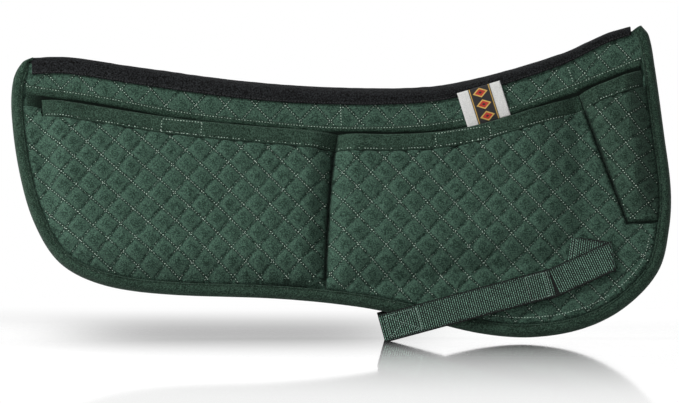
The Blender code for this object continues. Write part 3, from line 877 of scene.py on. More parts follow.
def arch(u, leg, n, rise, clear, steps):
    """Section of a tape over the fold: straight up one side, over a half ellipse, and down the other."""
    edge = spine_edge(u) + clear
    across = n * math.cos(LEAN) - edge * math.sin(LEAN)
    spring = edge * math.cos(LEAN) + n * math.sin(LEAN)
    angles = np.linspace(0, math.pi, steps)[:, None]
    over_y = across * np.cos(angles)
    over_z = spring + rise * np.sin(angles)
    down = np.linspace(1, 0, 12, endpoint=False)[:, None]
    foot_v = edge - leg * down
    leg_y = n * math.cos(LEAN) - foot_v * math.sin(LEAN)
    leg_z = foot_v * math.cos(LEAN) + n * math.sin(LEAN)
    y = np.vstack([leg_y, over_y, -leg_y[::-1]])
    z = np.vstack([leg_z, over_z, leg_z[::-1]])
    return y, z


def outward(y, z):
    """Unit normals of tape sections, a quarter turn from the way across them, away from the fold's inside."""
    dy = np.gradient(y, axis=0)
    dz = np.gradient(z, axis=0)
    size = np.hypot(dy, dz)
    return dz / size, -dy / size


def woven_tape(name, colour, pale, yarn, fleck_share):
    """Coarse plain weave: yarns over and under each other, dull, with single paler fibres on top."""
    material, wire = new_material(name)
    u, v = wire.cut_places()
    body = wire.node("TexCoord", output="Object")
    warp = (u * (math.pi / yarn)).sine()
    weft = (v * (math.pi / yarn)).sine()
    weave = warp * weft
    flecks = wire.noise(body, 820.0, 2.0)
    grain = ((flecks - 0.5) * fleck_share + weave * 0.16 + 0.42).held()
    shade = wire.mixed(grain, colour_of(colour), colour_of(pale))
    dress(wire, shade, flecks * 0.15 + 0.8, weave + flecks, 0.00035, Specular_IOR_Level=0.05)
    return material


black_tape = woven_tape("black_woven_tape", TAPE_BLACK, TAPE_FIBRES, TAPE_YARN, fleck_share=3.4)
green_tape = woven_tape("green_seam_tape", SEAM_TAPE_GREEN, SEAM_TAPE_FIBRES, SEAM_TAPE_YARN, fleck_share=1.5)
black_thread = sewing_thread("black_thread", THREAD_BLACK)

along = np.arange(TAPE_ENDS[0] - 8, TAPE_ENDS[1] + 2, TAPE_STEP)
legs = TAPE_LEG[0] + (TAPE_LEG[1] - TAPE_LEG[0]) * tape_share(along)
y, z = arch(along, legs, TAPE_OUT, tape_crown(along), TAPE_CLEAR, 30)
out_y, out_z = outward(y, z)
wave = 0.12 * ripples(along[None] + 0 * y, 3 * np.arange(len(y))[:, None] + 0 * y, 51, 8, 50)
outer = stand(along[None], y + out_y * (TAPE_CLOTH + wave), z + out_z * (TAPE_CLOTH + wave))
inner = stand(along[None], y, z)
uv = paired(along[None], np.cumsum(np.full(len(y), 1.4))[:, None]) * MM
tape = cloth_piece("fold_tape", grid_squares(*y.shape), outer, inner, uv, black_tape, flip=True)
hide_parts("spine_tape")
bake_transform(tape)
tape_foot = spine_edge(along) + TAPE_CLEAR - legs
tape_row = stitch_places(np.stack([along, tape_foot + TAPE_ROW], axis=1), STITCH)
for side in SIDES:
    thread = sew(f"{side}_fold_tape_thread", side, *tape_row,
                 lambda u, v: 0 * u + TAPE_OUT + TAPE_CLOTH + 0.02, STITCH, THREAD * MM, black_thread)
    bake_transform(thread)

y, z = arch(along, SEAM_TAPE_LEG, SEAM_TAPE_OUT, SEAM_TAPE_RISE, -SEAM_TAPE_DROP, 14)
out_y, out_z = outward(y, z)
outer = stand(along[None], y, z)
inner = stand(along[None], y - out_y * SEAM_TAPE_CLOTH, z - out_z * SEAM_TAPE_CLOTH)
uv = paired(along[None], np.cumsum(np.full(len(y), 1.0))[:, None]) * MM
seam_tape = cloth_piece("fold_seam_tape", grid_squares(*y.shape), outer, inner, uv, green_tape, flip=True)
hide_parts("spine_seam_tape")
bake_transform(seam_tape)


# Foam inserts.
# Slabs of cream memory foam cut to each pocket with a hot wire, their edges a little rounded by handling.
# Loose in the pockets: they slide in and out by the mouths.

INSERT = (12.0, 21.5)
INSERT_TOP = 0.9
INSERT_FOOT = 2.5
INSERT_STEP = 1.9
FOAM_CREAM = (0.66, 0.60, 0.43)
PANEL_INSET = 12.5
SHOULDER = 13.0
MIDDLE_FOOT = [(-60, -211), (128, -193)]
FOLD_LEVEL = -168.5
WEDGE_FOOT = -179.4
SEAM_LEAN = 0.087
SLANT_LEAN = -0.31
MOUTH_LEVEL = -60.0
REAR_INSERT = (-290.0, -73.0)
MIDDLE_INSERT = (-41.0, 126.0)
FRONT_INSERT = [(174.0, -0.30), (205.5, -0.064)]


def leaning(u_at_mouth, lean, v):
    """Where a leaning seam is at one height: its place at the level of the mouths, moved by its lean."""
    return u_at_mouth + lean * (v - MOUTH_LEVEL)


def pulled_over(v):
    """How far the seam between the rear and middle pockets bends forward towards the mouths."""
    return np.interp(v, [-225, -180, -139, -106, -89, -75], [2.7, 2.9, 3.9, 6.0, 9.0, 10.5])


def rear_insert_inside(u, v):
    """Distance inside the rear insert's outline: its top, the bound edge, its straight end and the seam."""
    top = mouth(u) - HEM - INSERT_TOP - v
    foot = from_edge(u, v) - PANEL_INSET - SHOULDER - INSERT_FOOT
    return least(top, foot, u - REAR_INSERT[0], leaning(REAR_INSERT[1], SEAM_LEAN, v) - u)


def middle_insert_inside(u, v):
    """Distance inside the middle insert's outline: its top, its sloping foot and two straight ends."""
    top = mouth(u) - HEM - INSERT_TOP - v
    foot = v - np.interp(u, *zip(*MIDDLE_FOOT)) - INSERT_FOOT
    return least(top, foot, u - MIDDLE_INSERT[0], MIDDLE_INSERT[1] - u)


def front_insert_inside(u, v):
    """Distance inside the front insert's outline: its top, its level foot and two leaning ends."""
    top = mouth(u) - HEM - INSERT_TOP - v
    foot = v - FOLD_LEVEL - SHOULDER - INSERT_FOOT
    return least(top, foot, u - leaning(*FRONT_INSERT[0], v), leaning(*FRONT_INSERT[1], v) - u)


def memory_foam(name, colour):
    """Open-cell foam: fine round cells, a few larger ones, and a slight yellowing in patches."""
    material, wire = new_material(name)
    body = wire.node("TexCoord", output="Object")
    cells = wire.node("TexVoronoi", {"feature": "F1"}, {"Vector": body, "Scale": 1500.0}, "Distance")
    pores = wire.node("TexVoronoi", {"feature": "F1"}, {"Vector": body, "Scale": 420.0}, "Distance")
    patches = wire.noise(body, 30.0, 3.0)
    grain = ((patches - 0.5) * 1.2 + cells * 0.5 + 0.3).held()
    shade = wire.mixed(grain, colour_of(colour, 0.82), colour_of(colour))
    dress(wire, shade, patches * 0.1 + 0.85, cells + pores * 0.6, 0.0004)
    return material


foam = memory_foam("cream_memory_foam", FOAM_CREAM)
INSERTS = {
    "rear": (rear_insert_inside, (-294, -62), (-90, -215)),
    "middle": (middle_insert_inside, (-45, 130), (-90, -215)),
    "front": (front_insert_inside, (165, 225), (-60, -160)),
}
middle = sum(INSERT) / 2
half = (INSERT[1] - INSERT[0]) / 2
for name, (inside, run_u, run_v) in INSERTS.items():
    cut = cut_out(np.arange(*run_u, INSERT_STEP), np.arange(*run_v, -INSERT_STEP), inside)
    u, v, _ = cut
    away = np.clip(inside(u, v), 0, None)
    rounded = np.sqrt(1 - (1 - np.clip(away / 2.4, 0, 1)) ** 2)
    crown = 1 - np.exp(-away / 18)
    for side in SIDES:
        dents = 0.16 * ripples(u, v, 61 + int(SIDES[side]), 9, 60)
        thick = (half - 0.75) + 0.35 * crown + dents * 0.5 - 1.6 * (1 - rounded)
        slab = side_cloth(f"{side}_{name}_foam", side, cut, middle + thick, middle - thick, foam)
        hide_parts(f"{side}_{name}_foam_insert")
        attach(slab, f"{side}_{name}_insert")


# Quilted pockets.
# Cotton quilted over thin wadding, sewn down at the binding and at the seams between the pockets, and
# puffed over the foam inserts. Pale thread runs down into every line of the quilting.

SEWN = 10.9
PUFF = 12.1
PANEL_CLOTH = 2.5
CREST = 0.8
HOLLOW = 2.2
PANEL_EDGE = 8.6
REAR_START = -306.5
SEAM_REAR = -56.7
SEAM_MIDDLE = -56.3
SLANT_MIDDLE = 160.5
SLANT_FRONT = 161.1
FRONT_END = 218.7
FRONT_END_LEAN = -0.055
PANEL_STEP = 1.4
SECOND_ROW = 15.5
MIDDLE_QUILTING = [
    [(51.2, -163.0, 132.1, 17.88, 11.58), (-1.4, -169.0, 133.6, 17.96, 14.39),
     (84.9, -216.0, 132.1, 19.11, 8.41)],
    [(51.2, -163.0, 39.4, 17.38, 8.18), (-1.4, -169.0, 40.9, 17.30, 4.56),
     (84.9, -216.0, 41.9, 17.22, 17.11)],
]
FRONT_QUILTING = [[(195, -115, 126.0, 17.6, 4.0)], [(195, -115, 36.0, 17.6, 9.0)]]
PANEL_SEEDS = (71, 72, 80)
# Painted shade: a darker copy of the quilted cotton, used for the front pocket as though it lay in shade
SHADED_GREEN = (0.0150, 0.0330, 0.0225)

shaded_cotton = cotton("shaded_quilted_cotton", SHADED_GREEN, groove_share=0.82, speckle=5.0)


def rising(distance, width, steep=1.5):
    """Share of the puff at a distance from a seam: steepest off the seam, and level at the width."""
    return 1 - (1 - np.clip(distance / width, 0, 1)) ** steep


def middle_seam(u_at_mouth, v):
    """Where the bent seam between the rear and middle pockets is at one height."""
    return leaning(u_at_mouth, SEAM_LEAN, v) + pulled_over(v)


def rear_puff(u, v):
    """Share of the rear pocket's full puff: the product of how far it has risen from each of its seams."""
    foot = from_edge(u, v) - PANEL_INSET
    return rising(u - REAR_START, 19.0) * rising(middle_seam(SEAM_REAR, v) - u, 22.0) * rising(foot, 21.0)


def middle_puff(u, v):
    """The same product for the middle pocket, which rises slowly from its front."""
    foot = v - np.interp(u, *zip(*MIDDLE_FOOT)) + 15.0
    return rising(u - middle_seam(SEAM_MIDDLE, v), 18.0) * rising(159.0 - u, 40.0) * rising(foot, 32.0)


def front_puff(u, v):
    """The same product for the front pocket, down to its short fold."""
    sides = rising(u - leaning(SLANT_FRONT, SLANT_LEAN, v), 17.0) * rising(
        leaning(FRONT_END, FRONT_END_LEAN, v) - u, 17.0)
    return sides * rising(v - WEDGE_FOOT, 30.0)


def rear_panel_inside(u, v):
    """Distance inside the rear panel's outline: the hem, or the band behind it, the binding and the seam."""
    top = mouth(u) - np.where(u < REAR_START - 0.5, 8.0, HEM + 0.3) - v
    return least(top, from_edge(u, v) - PANEL_EDGE, middle_seam(SEAM_REAR, v) - u)


def middle_panel_inside(u, v):
    """Distance inside the middle panel's outline, which runs on forward below the front pocket."""
    top = mouth(u) - HEM - 0.3 - v
    front = np.maximum(leaning(SLANT_MIDDLE, SLANT_LEAN, v) - u, WEDGE_FOOT - 0.4 - v)
    return least(top, front, from_edge(u, v) - PANEL_EDGE, u - middle_seam(SEAM_MIDDLE, v))


def front_panel_inside(u, v):
    """Distance inside the front panel's outline: the hem, the binding, the slanted seam and the fold."""
    top = mouth(u) - HEM - 0.3 - v
    slant = u - leaning(SLANT_FRONT, SLANT_LEAN, v)
    return least(top, from_edge(u, v) - PANEL_EDGE, slant, v - WEDGE_FOOT)


def seam_away(name, u, v):
    """Distance to the nearest sewn-down seam of a pocket, which leaves out its mouth."""
    bound_edge = from_edge(u, v) - PANEL_EDGE - 1
    if name == "rear":
        return np.minimum(bound_edge, middle_seam(SEAM_REAR, v) - u)
    if name == "middle":
        front = np.maximum(leaning(SLANT_MIDDLE, SLANT_LEAN, v) - u, WEDGE_FOOT - 0.4 - v)
        return least(bound_edge, u - middle_seam(SEAM_MIDDLE, v), front)
    return least(bound_edge, u - leaning(SLANT_FRONT, SLANT_LEAN, v), v - WEDGE_FOOT)


POCKETS = {
    "rear": (rear_panel_inside, rear_puff, REAR_QUILTING, (-326, -52), (-44, -216)),
    "middle": (middle_panel_inside, middle_puff, MIDDLE_QUILTING, (-76, 232), (-70, -270)),
    "front": (front_panel_inside, front_puff, FRONT_QUILTING, (158, 232), (-56, -182)),
}


def panel_face(name, seed):
    """The outer height of a pocket at u and v: the puff over its insert, the quilting, the gathers along the
    seams and the slight unevenness of hand-guided cloth."""
    _, puff_of, plan, _, _ = POCKETS[name]

    def height(u, v):
        away = np.clip(seam_away(name, u, v), 0, None)
        sewn = soft_step(away / 3.2)
        puff, _, gather = quilted(u, v, plan, seed)
        near_strap = soft_step((u - 128) / 14)
        crest = CREST * (1 - 0.5 * near_strap)
        hollow = HOLLOW * (1 - 0.3 * near_strap)
        base = SEWN + 0.45 + (PANEL_CLOTH - 0.45) * sewn + PUFF * puff_of(u, v)
        rows = crest * puff - (hollow - crest) * (1 - puff)
        out = base + rows * (0.25 + 0.75 * sewn) * soft_step((away + 1.5) / 4)
        out = out + 0.16 * gather * sewn
        run = v + 0.3 * u if name == "middle" else v
        pull = np.sin(2 * np.pi * run / 5.2 + 2.2 * ripples(u, v, seed, 18, 60, 8))
        slack = (0.62 + 0.9 * near_strap) * np.exp(-away / (5.0 + 4.0 * near_strap))
        out = out + slack * pull * soft_step(away / 1.5)
        out = out + (0.27 * ripples(u, v, seed + 1, 4.5, 14) + 0.25 * ripples(u, v, seed + 2, 25, 90)) * sewn
        return np.maximum(out, SEWN + 0.3)

    return height


for name, (inside, puff_of, plan, run_u, run_v) in POCKETS.items():
    cut = cut_out(np.arange(*run_u, PANEL_STEP), np.arange(*run_v, -PANEL_STEP), inside)
    u, v, _ = cut
    _, groove, _ = quilted(u, v, plan, PANEL_SEEDS[0])
    away = np.clip(seam_away(name, u, v), 0, None)
    by_edge = from_edge(u, v) - PANEL_EDGE - 1 < away + 0.5
    at_foot = (v - WEDGE_FOOT < away + 0.5) & (name == "front")
    # Painted shade along the sewn-down seams, weaker by the binding and at the front pocket's foot
    seam_painted_shade = np.where(by_edge | at_foot, 0.85, 1.2) * np.exp(-(away / 1.3) ** 2)
    groove = np.where(seam_painted_shade > 0.1, np.maximum(groove, seam_painted_shade), groove)

    def sewn_part(u, v):
        """Distance inside the part of the panel that is quilted."""
        return np.minimum(inside(u, v) - 1.2, seam_away(name, u, v) - 2.0)

    stitches = quilting_places(plan, STITCH, sewn_part, PANEL_SEEDS[1])
    if name == "middle":
        beside = (EDGE_PATH + EDGE_INWARD * SECOND_ROW)[(EDGE_PATH[:, 0] > 60) & (EDGE_PATH[:, 1] < -196)]
        stitches = np.concatenate([stitches, stitch_places(beside, STITCH)], axis=1)
    for side in SIDES:
        height = panel_face(name, PANEL_SEEDS[2] + int(SIDES[side]))
        outer = height(u, v)
        thick = 0.5 + (PANEL_CLOTH - 0.7) * soft_step(away / 8)
        inner = np.maximum(outer - thick, SEWN - 0.25)
        panel = side_cloth(f"{side}_{name}_pocket", side, cut, outer, np.minimum(inner, outer - 0.35),
                           shaded_cotton if name == "front" else quilted_cotton, groove=groove)
        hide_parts(f"{side}_{name}_pocket_panel")
        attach(panel, f"{side}_side")
        thread = sew(f"{side}_{name}_pocket_thread", side, *stitches, height, STITCH, THREAD * MM,
                     green_thread)
        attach(thread, f"{side}_side")


# Pocket hems.
# Plain cotton folded over the upper edge of each pocket and sewn through with one row by its lower edge.
# They stand off over the inserts, so each mouth is open; tabs of hook and loop close the two long ones.

HEM_CLOTH = 3.0
HEM_ROW = 13.2
HEM_STEP = 1.2
HEMS = {
    "rear": (REAR_START, SEAM_REAR, 0.0, SEAM_LEAN),
    "middle": (SEAM_MIDDLE, SLANT_MIDDLE, SEAM_LEAN, SLANT_LEAN),
    "front": (SLANT_FRONT, FRONT_END, SLANT_LEAN, FRONT_END_LEAN),
}
TAB_DROP = 7.6
TAB_BOX = 11.0
# Where the places of stitches say how deep they are pulled, and how deep the hem's and the tab's rows are
SUNK = 4
HEM_SUNK = 0.92
BOX_SUNK = 1.15
TABS = {"rear": (-185.5, 35.0, math.radians(-8.5)), "middle": (59.0, 48.0, math.radians(5.5))}


def hem_face(puff_of):
    """Outer height of a hem: the pocket's puff and the folded cloth, thin at the ends, rolled over at the top
    and bottom, hollow along its row of stitches."""

    def height(u, v):
        below = mouth(u) - v
        puff = puff_of(u, v)
        cloth = 0.7 + (HEM_CLOTH - 0.7) * soft_step(puff * 1.5)
        roll = np.sqrt(np.clip(1 - (1 - np.clip(below / 2.6, 0, 1)) ** 2, 0, 1))
        foot = np.sqrt(np.clip(1 - (1 - np.clip((HEM - below) / 0.8, 0, 1)) ** 2, 0, 1))
        out = cloth * (0.15 + 0.85 * roll) * (0.55 + 0.45 * foot)
        out = out - 0.55 * np.exp(-((below - HEM_ROW) / 0.8) ** 2) * (0.4 + 0.6 * puff)
        out = out - 0.45 * np.exp(-((below - 5.0) / 3.0) ** 2) * puff
        return SEWN + PUFF * puff + out

    return height


def tab_frame(name):
    """The four sides of a tab's stitched box, as lines of points on the hem."""
    centre_u, length, turn = TABS[name]
    centre_v = mouth(centre_u) - TAB_DROP
    box = np.array([(-0.5, 0.5), (0.5, 0.5), (0.5, -0.5), (-0.5, -0.5), (-0.5, 0.5)]) * (length, TAB_BOX)
    u = centre_u + box[:, 0] * math.cos(turn) - box[:, 1] * math.sin(turn)
    v = centre_v + box[:, 0] * math.sin(turn) + box[:, 1] * math.cos(turn)
    return np.stack([u, v], axis=1)


for name, (first, last, first_lean, last_lean) in HEMS.items():
    puff_of = POCKETS[name][1]
    height = hem_face(puff_of)
    columns = np.arange(first, last, HEM_STEP)
    columns = first + (columns - first) * (last - first) / (columns[-1] - first)
    part = (columns - first) / (last - first)
    lean = first_lean * (1 - soft_step(part * 4)) + last_lean * soft_step(part * 4 - 3)
    bend = {"rear": soft_step(part * 4 - 3), "middle": 1 - soft_step(part * 4), "front": 0 * part}[name]
    share = np.concatenate([np.linspace(0, 0.16, 8), np.linspace(0.2, 0.94, 11), [0.965, 0.985, 1.0]])
    share = share[:, None]
    v = mouth(columns)[None] - HEM * share
    u = leaning(columns[None], lean[None], v) + bend[None] * pulled_over(v)
    u, v = u.ravel(), v.ravel()
    cut = (u, v, grid_squares(len(share), len(columns)))
    puff = puff_of(u, v)
    row_line = np.stack([columns, mouth(columns) - HEM_ROW], axis=1)[2:-2]
    row_line[:, 0] += lean[2:-2] * (row_line[:, 1] - MOUTH_LEVEL) + bend[2:-2] * pulled_over(row_line[:, 1])
    row = stitch_places(row_line, STITCH)
    row[SUNK] = HEM_SUNK
    at_tab = 0 * u
    if name in TABS:
        centre_u, length, _ = TABS[name]
        at_tab = soft_step((length / 2 + 2 - np.abs(u - centre_u)) / 3)
        box = tab_frame(name)
        box_rows = np.concatenate([stitch_places(box[k:k + 2], STITCH) for k in range(4)], axis=1)
        box_rows[SUNK] = BOX_SUNK
        row = np.concatenate([row, box_rows], axis=1)
    below = mouth(u) - v
    # Painted shade along the hem's row of stitches
    shade = 0.45 * np.exp(-((below - HEM_ROW) / 0.5) ** 2)
    for side in SIDES:
        seed = 90 + int(SIDES[side])
        waves = 0.22 * ripples(u, 3 * v, seed, 8, 40) + 0.10 * ripples(u, v, seed + 3, 4.5, 9)
        pulled = 0.2 * np.sin(2 * np.pi * (u + 0.4 * v) / 5.7 + 2 * ripples(u, v, seed, 20, 60, 6))
        pulled = pulled * np.exp(-((below - HEM_ROW) / 3.0) ** 2)
        free = soft_step(below / 2) * soft_step(puff * 2)
        outer = height(u, v) + (waves * (1 - 0.6 * at_tab) + pulled) * free
        inner = SEWN + PUFF * puff
        hem = side_cloth(f"{side}_{name}_hem", side, cut, np.maximum(outer, inner + 0.3), inner, plain_cotton,
                         groove=shade)
        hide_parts(f"{side}_{name}_pocket_hem")
        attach(hem, f"{side}_side")
        thread = sew(f"{side}_{name}_hem_thread", side, *row, height, STITCH, THREAD * MM, green_thread)
        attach(thread, f"{side}_side")


# Closing tabs.
# A strip of loop tape sewn on the facing band and a strip of hook tape under the hem, opposite each other.

LOOP_TAPE = (10.95, 11.8)
HOOK_TAPE = (21.8, 22.7)
TAB_HEIGHT = 12.0
TAB_STEP = 0.8
TAB_GREEN = (0.012, 0.034, 0.024)
LOOP_ROWS = (0.0013, 0.0016)
SQUARE = math.radians(90)


def hook_and_loop(name, colour):
    """Nylon hook and loop tape: rows of stiff loops on a woven ground."""
    material, wire = new_material(name)
    u, v = wire.cut_places()
    body = wire.node("TexCoord", output="Object")
    rows = (u * (2 * math.pi / LOOP_ROWS[0])).sine() * (v * (2 * math.pi / LOOP_ROWS[1])).sine()
    fuzz = wire.noise(body, 1500.0, 3.0)
    shade = wire.mixed((fuzz + rows * 0.2).held(), colour_of(colour, 0.5), colour_of(colour, 1.7))
    dress(wire, shade, fuzz * 0.2 + 0.6, rows + fuzz * 1.5, 0.0004, Sheen_Weight=0.5)
    return material


hook_loop = hook_and_loop("green_hook_and_loop", TAB_GREEN)


def strip_points(start, end, start_cut, end_cut, width, centre, turn, step_along, step_across):
    """Grid of a flat strip: along it from one slanting cut to the other, across it from the upper edge to the
    lower, then turned and moved in a side's plane. Gives u, v, and the places along and across the strip."""
    across = np.linspace(width / 2, -width / 2, max(3, int(round(width / step_across)) + 1))[:, None]
    first = start + across / math.tan(start_cut)
    last = end + across / math.tan(end_cut)
    share = np.linspace(0, 1, int(round((end - start) / step_along)) + 1)[None]
    along = first + (last - first) * share
    across = across + 0 * along
    u = centre[0] + along * math.cos(turn) - across * math.sin(turn)
    v = centre[1] + along * math.sin(turn) + across * math.cos(turn)
    return u, v, along, across


def bumps(along_strip, across_strip):
    """Rows of loops over a tape's face, from -1 to 1."""
    return np.sin(2 * np.pi * along_strip / 2.1) * np.sin(2 * np.pi * across_strip / 1.9)


for name, (centre_u, length, turn) in TABS.items():
    centre = (centre_u, mouth(centre_u) - TAB_DROP)
    u, v, along_strip, across_strip = strip_points(
        -length / 2, length / 2, SQUARE, SQUARE, TAB_HEIGHT, centre, turn, TAB_STEP, TAB_STEP)
    cut = (u.ravel(), v.ravel(), grid_squares(*u.shape))
    rim = np.minimum(length / 2 - np.abs(along_strip), TAB_HEIGHT / 2 - np.abs(across_strip))
    loops = 0.25 * bumps(along_strip, across_strip)
    pile = (0.55 + loops * 0.5 + 0.08 * ripples(u, v, 95, 2, 6)) * np.sqrt(np.clip(rim, 0, 1))
    faces = {
        "loop": (LOOP_TAPE[0] + 0.1 + pile, LOOP_TAPE[0] + 0 * pile),
        "hook": (HOOK_TAPE[1] + 0 * pile, HOOK_TAPE[1] - 0.1 - pile),
    }
    for side in SIDES:
        holders = {"loop": f"{side}_facing", "hook": f"{side}_{name}_hem"}
        for kind, holder in holders.items():
            outer, inner = (face.ravel() for face in faces[kind])
            tab = side_cloth(f"{side}_{name}_{kind}_tab", side, cut, outer, inner, hook_loop)
            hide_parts(f"{side}_{name}_{kind}_tape")
            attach(tab, f"{side}_side")


# Billet straps.
# One inch ribbed nylon webbing: a short anchor sewn to the pocket and folded over at a crease, and a long
# arm sewn to the folded lead with two rows. Patches of hook and loop inside the arm close it round a billet.

WEBBING = 25.4
RIB = 1.9
CREASE = (182.7, -209.4)
CREASE_LEVEL = 15.8
CREASE_TURN = math.radians(95)
LEAD_TURN = math.radians(21.5)
ARM_TURN = math.radians(12.3)
ANCHOR_TURN = 2 * CREASE_TURN - math.pi - LEAD_TURN
ANCHOR_LENGTH = 38.0
LEAD_LENGTH = 57.0
ARM_LENGTH = 162.0
LAP = 8.0
LAP_SEEN = -0.8
ANCHOR_LAYER = (14.1, 15.6)
LEAD_LAYER = (0.2, 1.7)
ARM_LAYER = (2.0, 3.5)
PATCH_LAYER = (0.8, 1.7)
HOOK_PATCH = (-ARM_LENGTH + LAP + 2.0, -ARM_LENGTH + LAP + 32.0)
LOOP_PATCH = (-73.0, -12.0)
PATCH_HEIGHT = 20.0
PATCH_STEP = 0.9
WEBBING_STEPS = (0.41, 0.75)
STRAP_STITCH = 2.2
STRAP_THREAD = 0.27
STRAP_SUNK = 0.12
ROW_HALF = 10.5
ARM_ROWS = (-3.0, -6.0, -22.0)
ANCHOR_ROWS = (-35.5, -32.5)
WEBBING_GREEN = (0.035, 0.068, 0.051)
WEBBING_THREAD = (0.24, 0.32, 0.28)
WEBBING_TWIST = 0.0007


def ribbed(along, across):
    """Height of the webbing's face, 0 to 1: round ribs across it, each a row of yarns that step by half a
    yarn from rib to rib, and a rounded selvage at both edges."""
    number = np.floor(along / RIB)
    rib = np.abs(np.sin(np.pi * along / RIB)) ** 1.3
    yarns = 0.72 + 0.28 * np.abs(np.sin(np.pi * across / 2.3 + 0.5 * np.pi * (number % 2)))
    edge = np.sqrt(np.clip(1 - (np.abs(across) / (WEBBING / 2 + 0.05)) ** 14, 0, 1))
    return rib * yarns * edge, edge


def nylon_webbing(name, colour):
    """Ribbed nylon: a painted highlight on the yarns of the ribs, painted shade between them, and a fine
    twist along each yarn.
    """
    material, wire = new_material(name)
    u, v = wire.cut_places()
    body = wire.node("TexCoord", output="Object")
    rib = wire.value_of("rib")
    twist = ((u * 0.6 + v) * (2 * math.pi / WEBBING_TWIST)).sine()
    fibres = wire.noise(body, 1300.0, 2.0)
    # Painted highlight on the ribs and painted shade between them
    rib_painted_light = (rib * 2.9 + (fibres - 0.5) * 2.0 + twist * 0.05 - 2.0).held()
    shade = wire.mixed(rib_painted_light, colour_of(colour, 0.02), colour_of(colour, 6.2))
    dress(wire, shade, 0.55 - fibres * 0.25, twist * 0.3 + fibres, 0.00015, Specular_IOR_Level=0.2)
    return material


webbing_nylon = nylon_webbing("green_nylon_webbing", WEBBING_GREEN)
webbing_thread = sewing_thread("webbing_thread", WEBBING_THREAD)


def webbing_piece(name, side, strip, layer, covered=-999.0):
    """Ribbed strip between two heights over the middle plane, with painted shade close to where another one
    covers it.
    """
    u, v, along, across = strip
    rib, edge = ribbed(along, across)
    rib_with_painted_shade = rib * soft_step((np.abs(along - covered) - 0.4) / 1.6)
    middle = sum(layer) / 2
    half = (layer[1] - layer[0]) / 2
    thick = half * (0.30 + 0.25 * edge) + 0.42 * half * rib
    return cloth_piece(name, grid_squares(*u.shape), place(side, u, v, middle + thick),
                       place(side, u, v, middle - thick), paired(along, across) * MM, webbing_nylon,
                       side == "left", rib=rib_with_painted_shade.ravel())


def strip_line(points, centre, turn):
    """Line given along and across a strip, moved onto the side."""
    points = np.asarray(points, float)
    return np.stack([centre[0] + points[:, 0] * math.cos(turn) - points[:, 1] * math.sin(turn),
                     centre[1] + points[:, 0] * math.sin(turn) + points[:, 1] * math.cos(turn)], axis=1)


SEAM_POINT = tuple(strip_line([(-LEAD_LENGTH, 0.0)], CREASE, LEAD_TURN)[0])
anchor_strip = strip_points(
    -ANCHOR_LENGTH, 0.0, SQUARE, CREASE_TURN - ANCHOR_TURN, WEBBING, CREASE, ANCHOR_TURN, *WEBBING_STEPS)
lead_strip = strip_points(
    -LEAD_LENGTH - LAP, 0.0, SQUARE, CREASE_TURN - LEAD_TURN, WEBBING, CREASE, LEAD_TURN, *WEBBING_STEPS)
arm_strip = strip_points(
    -ARM_LENGTH + LAP, LAP_SEEN, SQUARE, SQUARE, WEBBING, SEAM_POINT, ARM_TURN, *WEBBING_STEPS)
patch_strips = {
    kind: strip_points(*ends, SQUARE, SQUARE, PATCH_HEIGHT, SEAM_POINT, ARM_TURN, PATCH_STEP, PATCH_STEP)
    for kind, ends in (("hook", HOOK_PATCH), ("loop", LOOP_PATCH))}
X_BOX = [(-ARM_LENGTH + LAP + x, y) for x, y in
         ((6, 9.5), (34, 9.5), (34, -9.5), (6, -9.5), (6, 9.5), (34, -9.5), (34, 9.5), (6, -9.5))]
seam_lines = [strip_line([(x, ROW_HALF), (x, -ROW_HALF)], SEAM_POINT, ARM_TURN) for x in ARM_ROWS]
seam_lines += [strip_line([(ARM_ROWS[-1], y), (ARM_ROWS[0], y)], SEAM_POINT, ARM_TURN)
               for y in (ROW_HALF, -ROW_HALF)]
box = strip_line(X_BOX, SEAM_POINT, ARM_TURN)
seam_lines += [box[k:k + 2] for k in range(len(box) - 1)]
arm_rows = np.concatenate([stitch_places(line, STRAP_STITCH) for line in seam_lines], axis=1)
anchor_lines = [strip_line([(x, ROW_HALF), (x, -ROW_HALF)], CREASE, ANCHOR_TURN) for x in ANCHOR_ROWS]
anchor_rows = np.concatenate([stitch_places(line, STRAP_STITCH) for line in anchor_lines], axis=1)

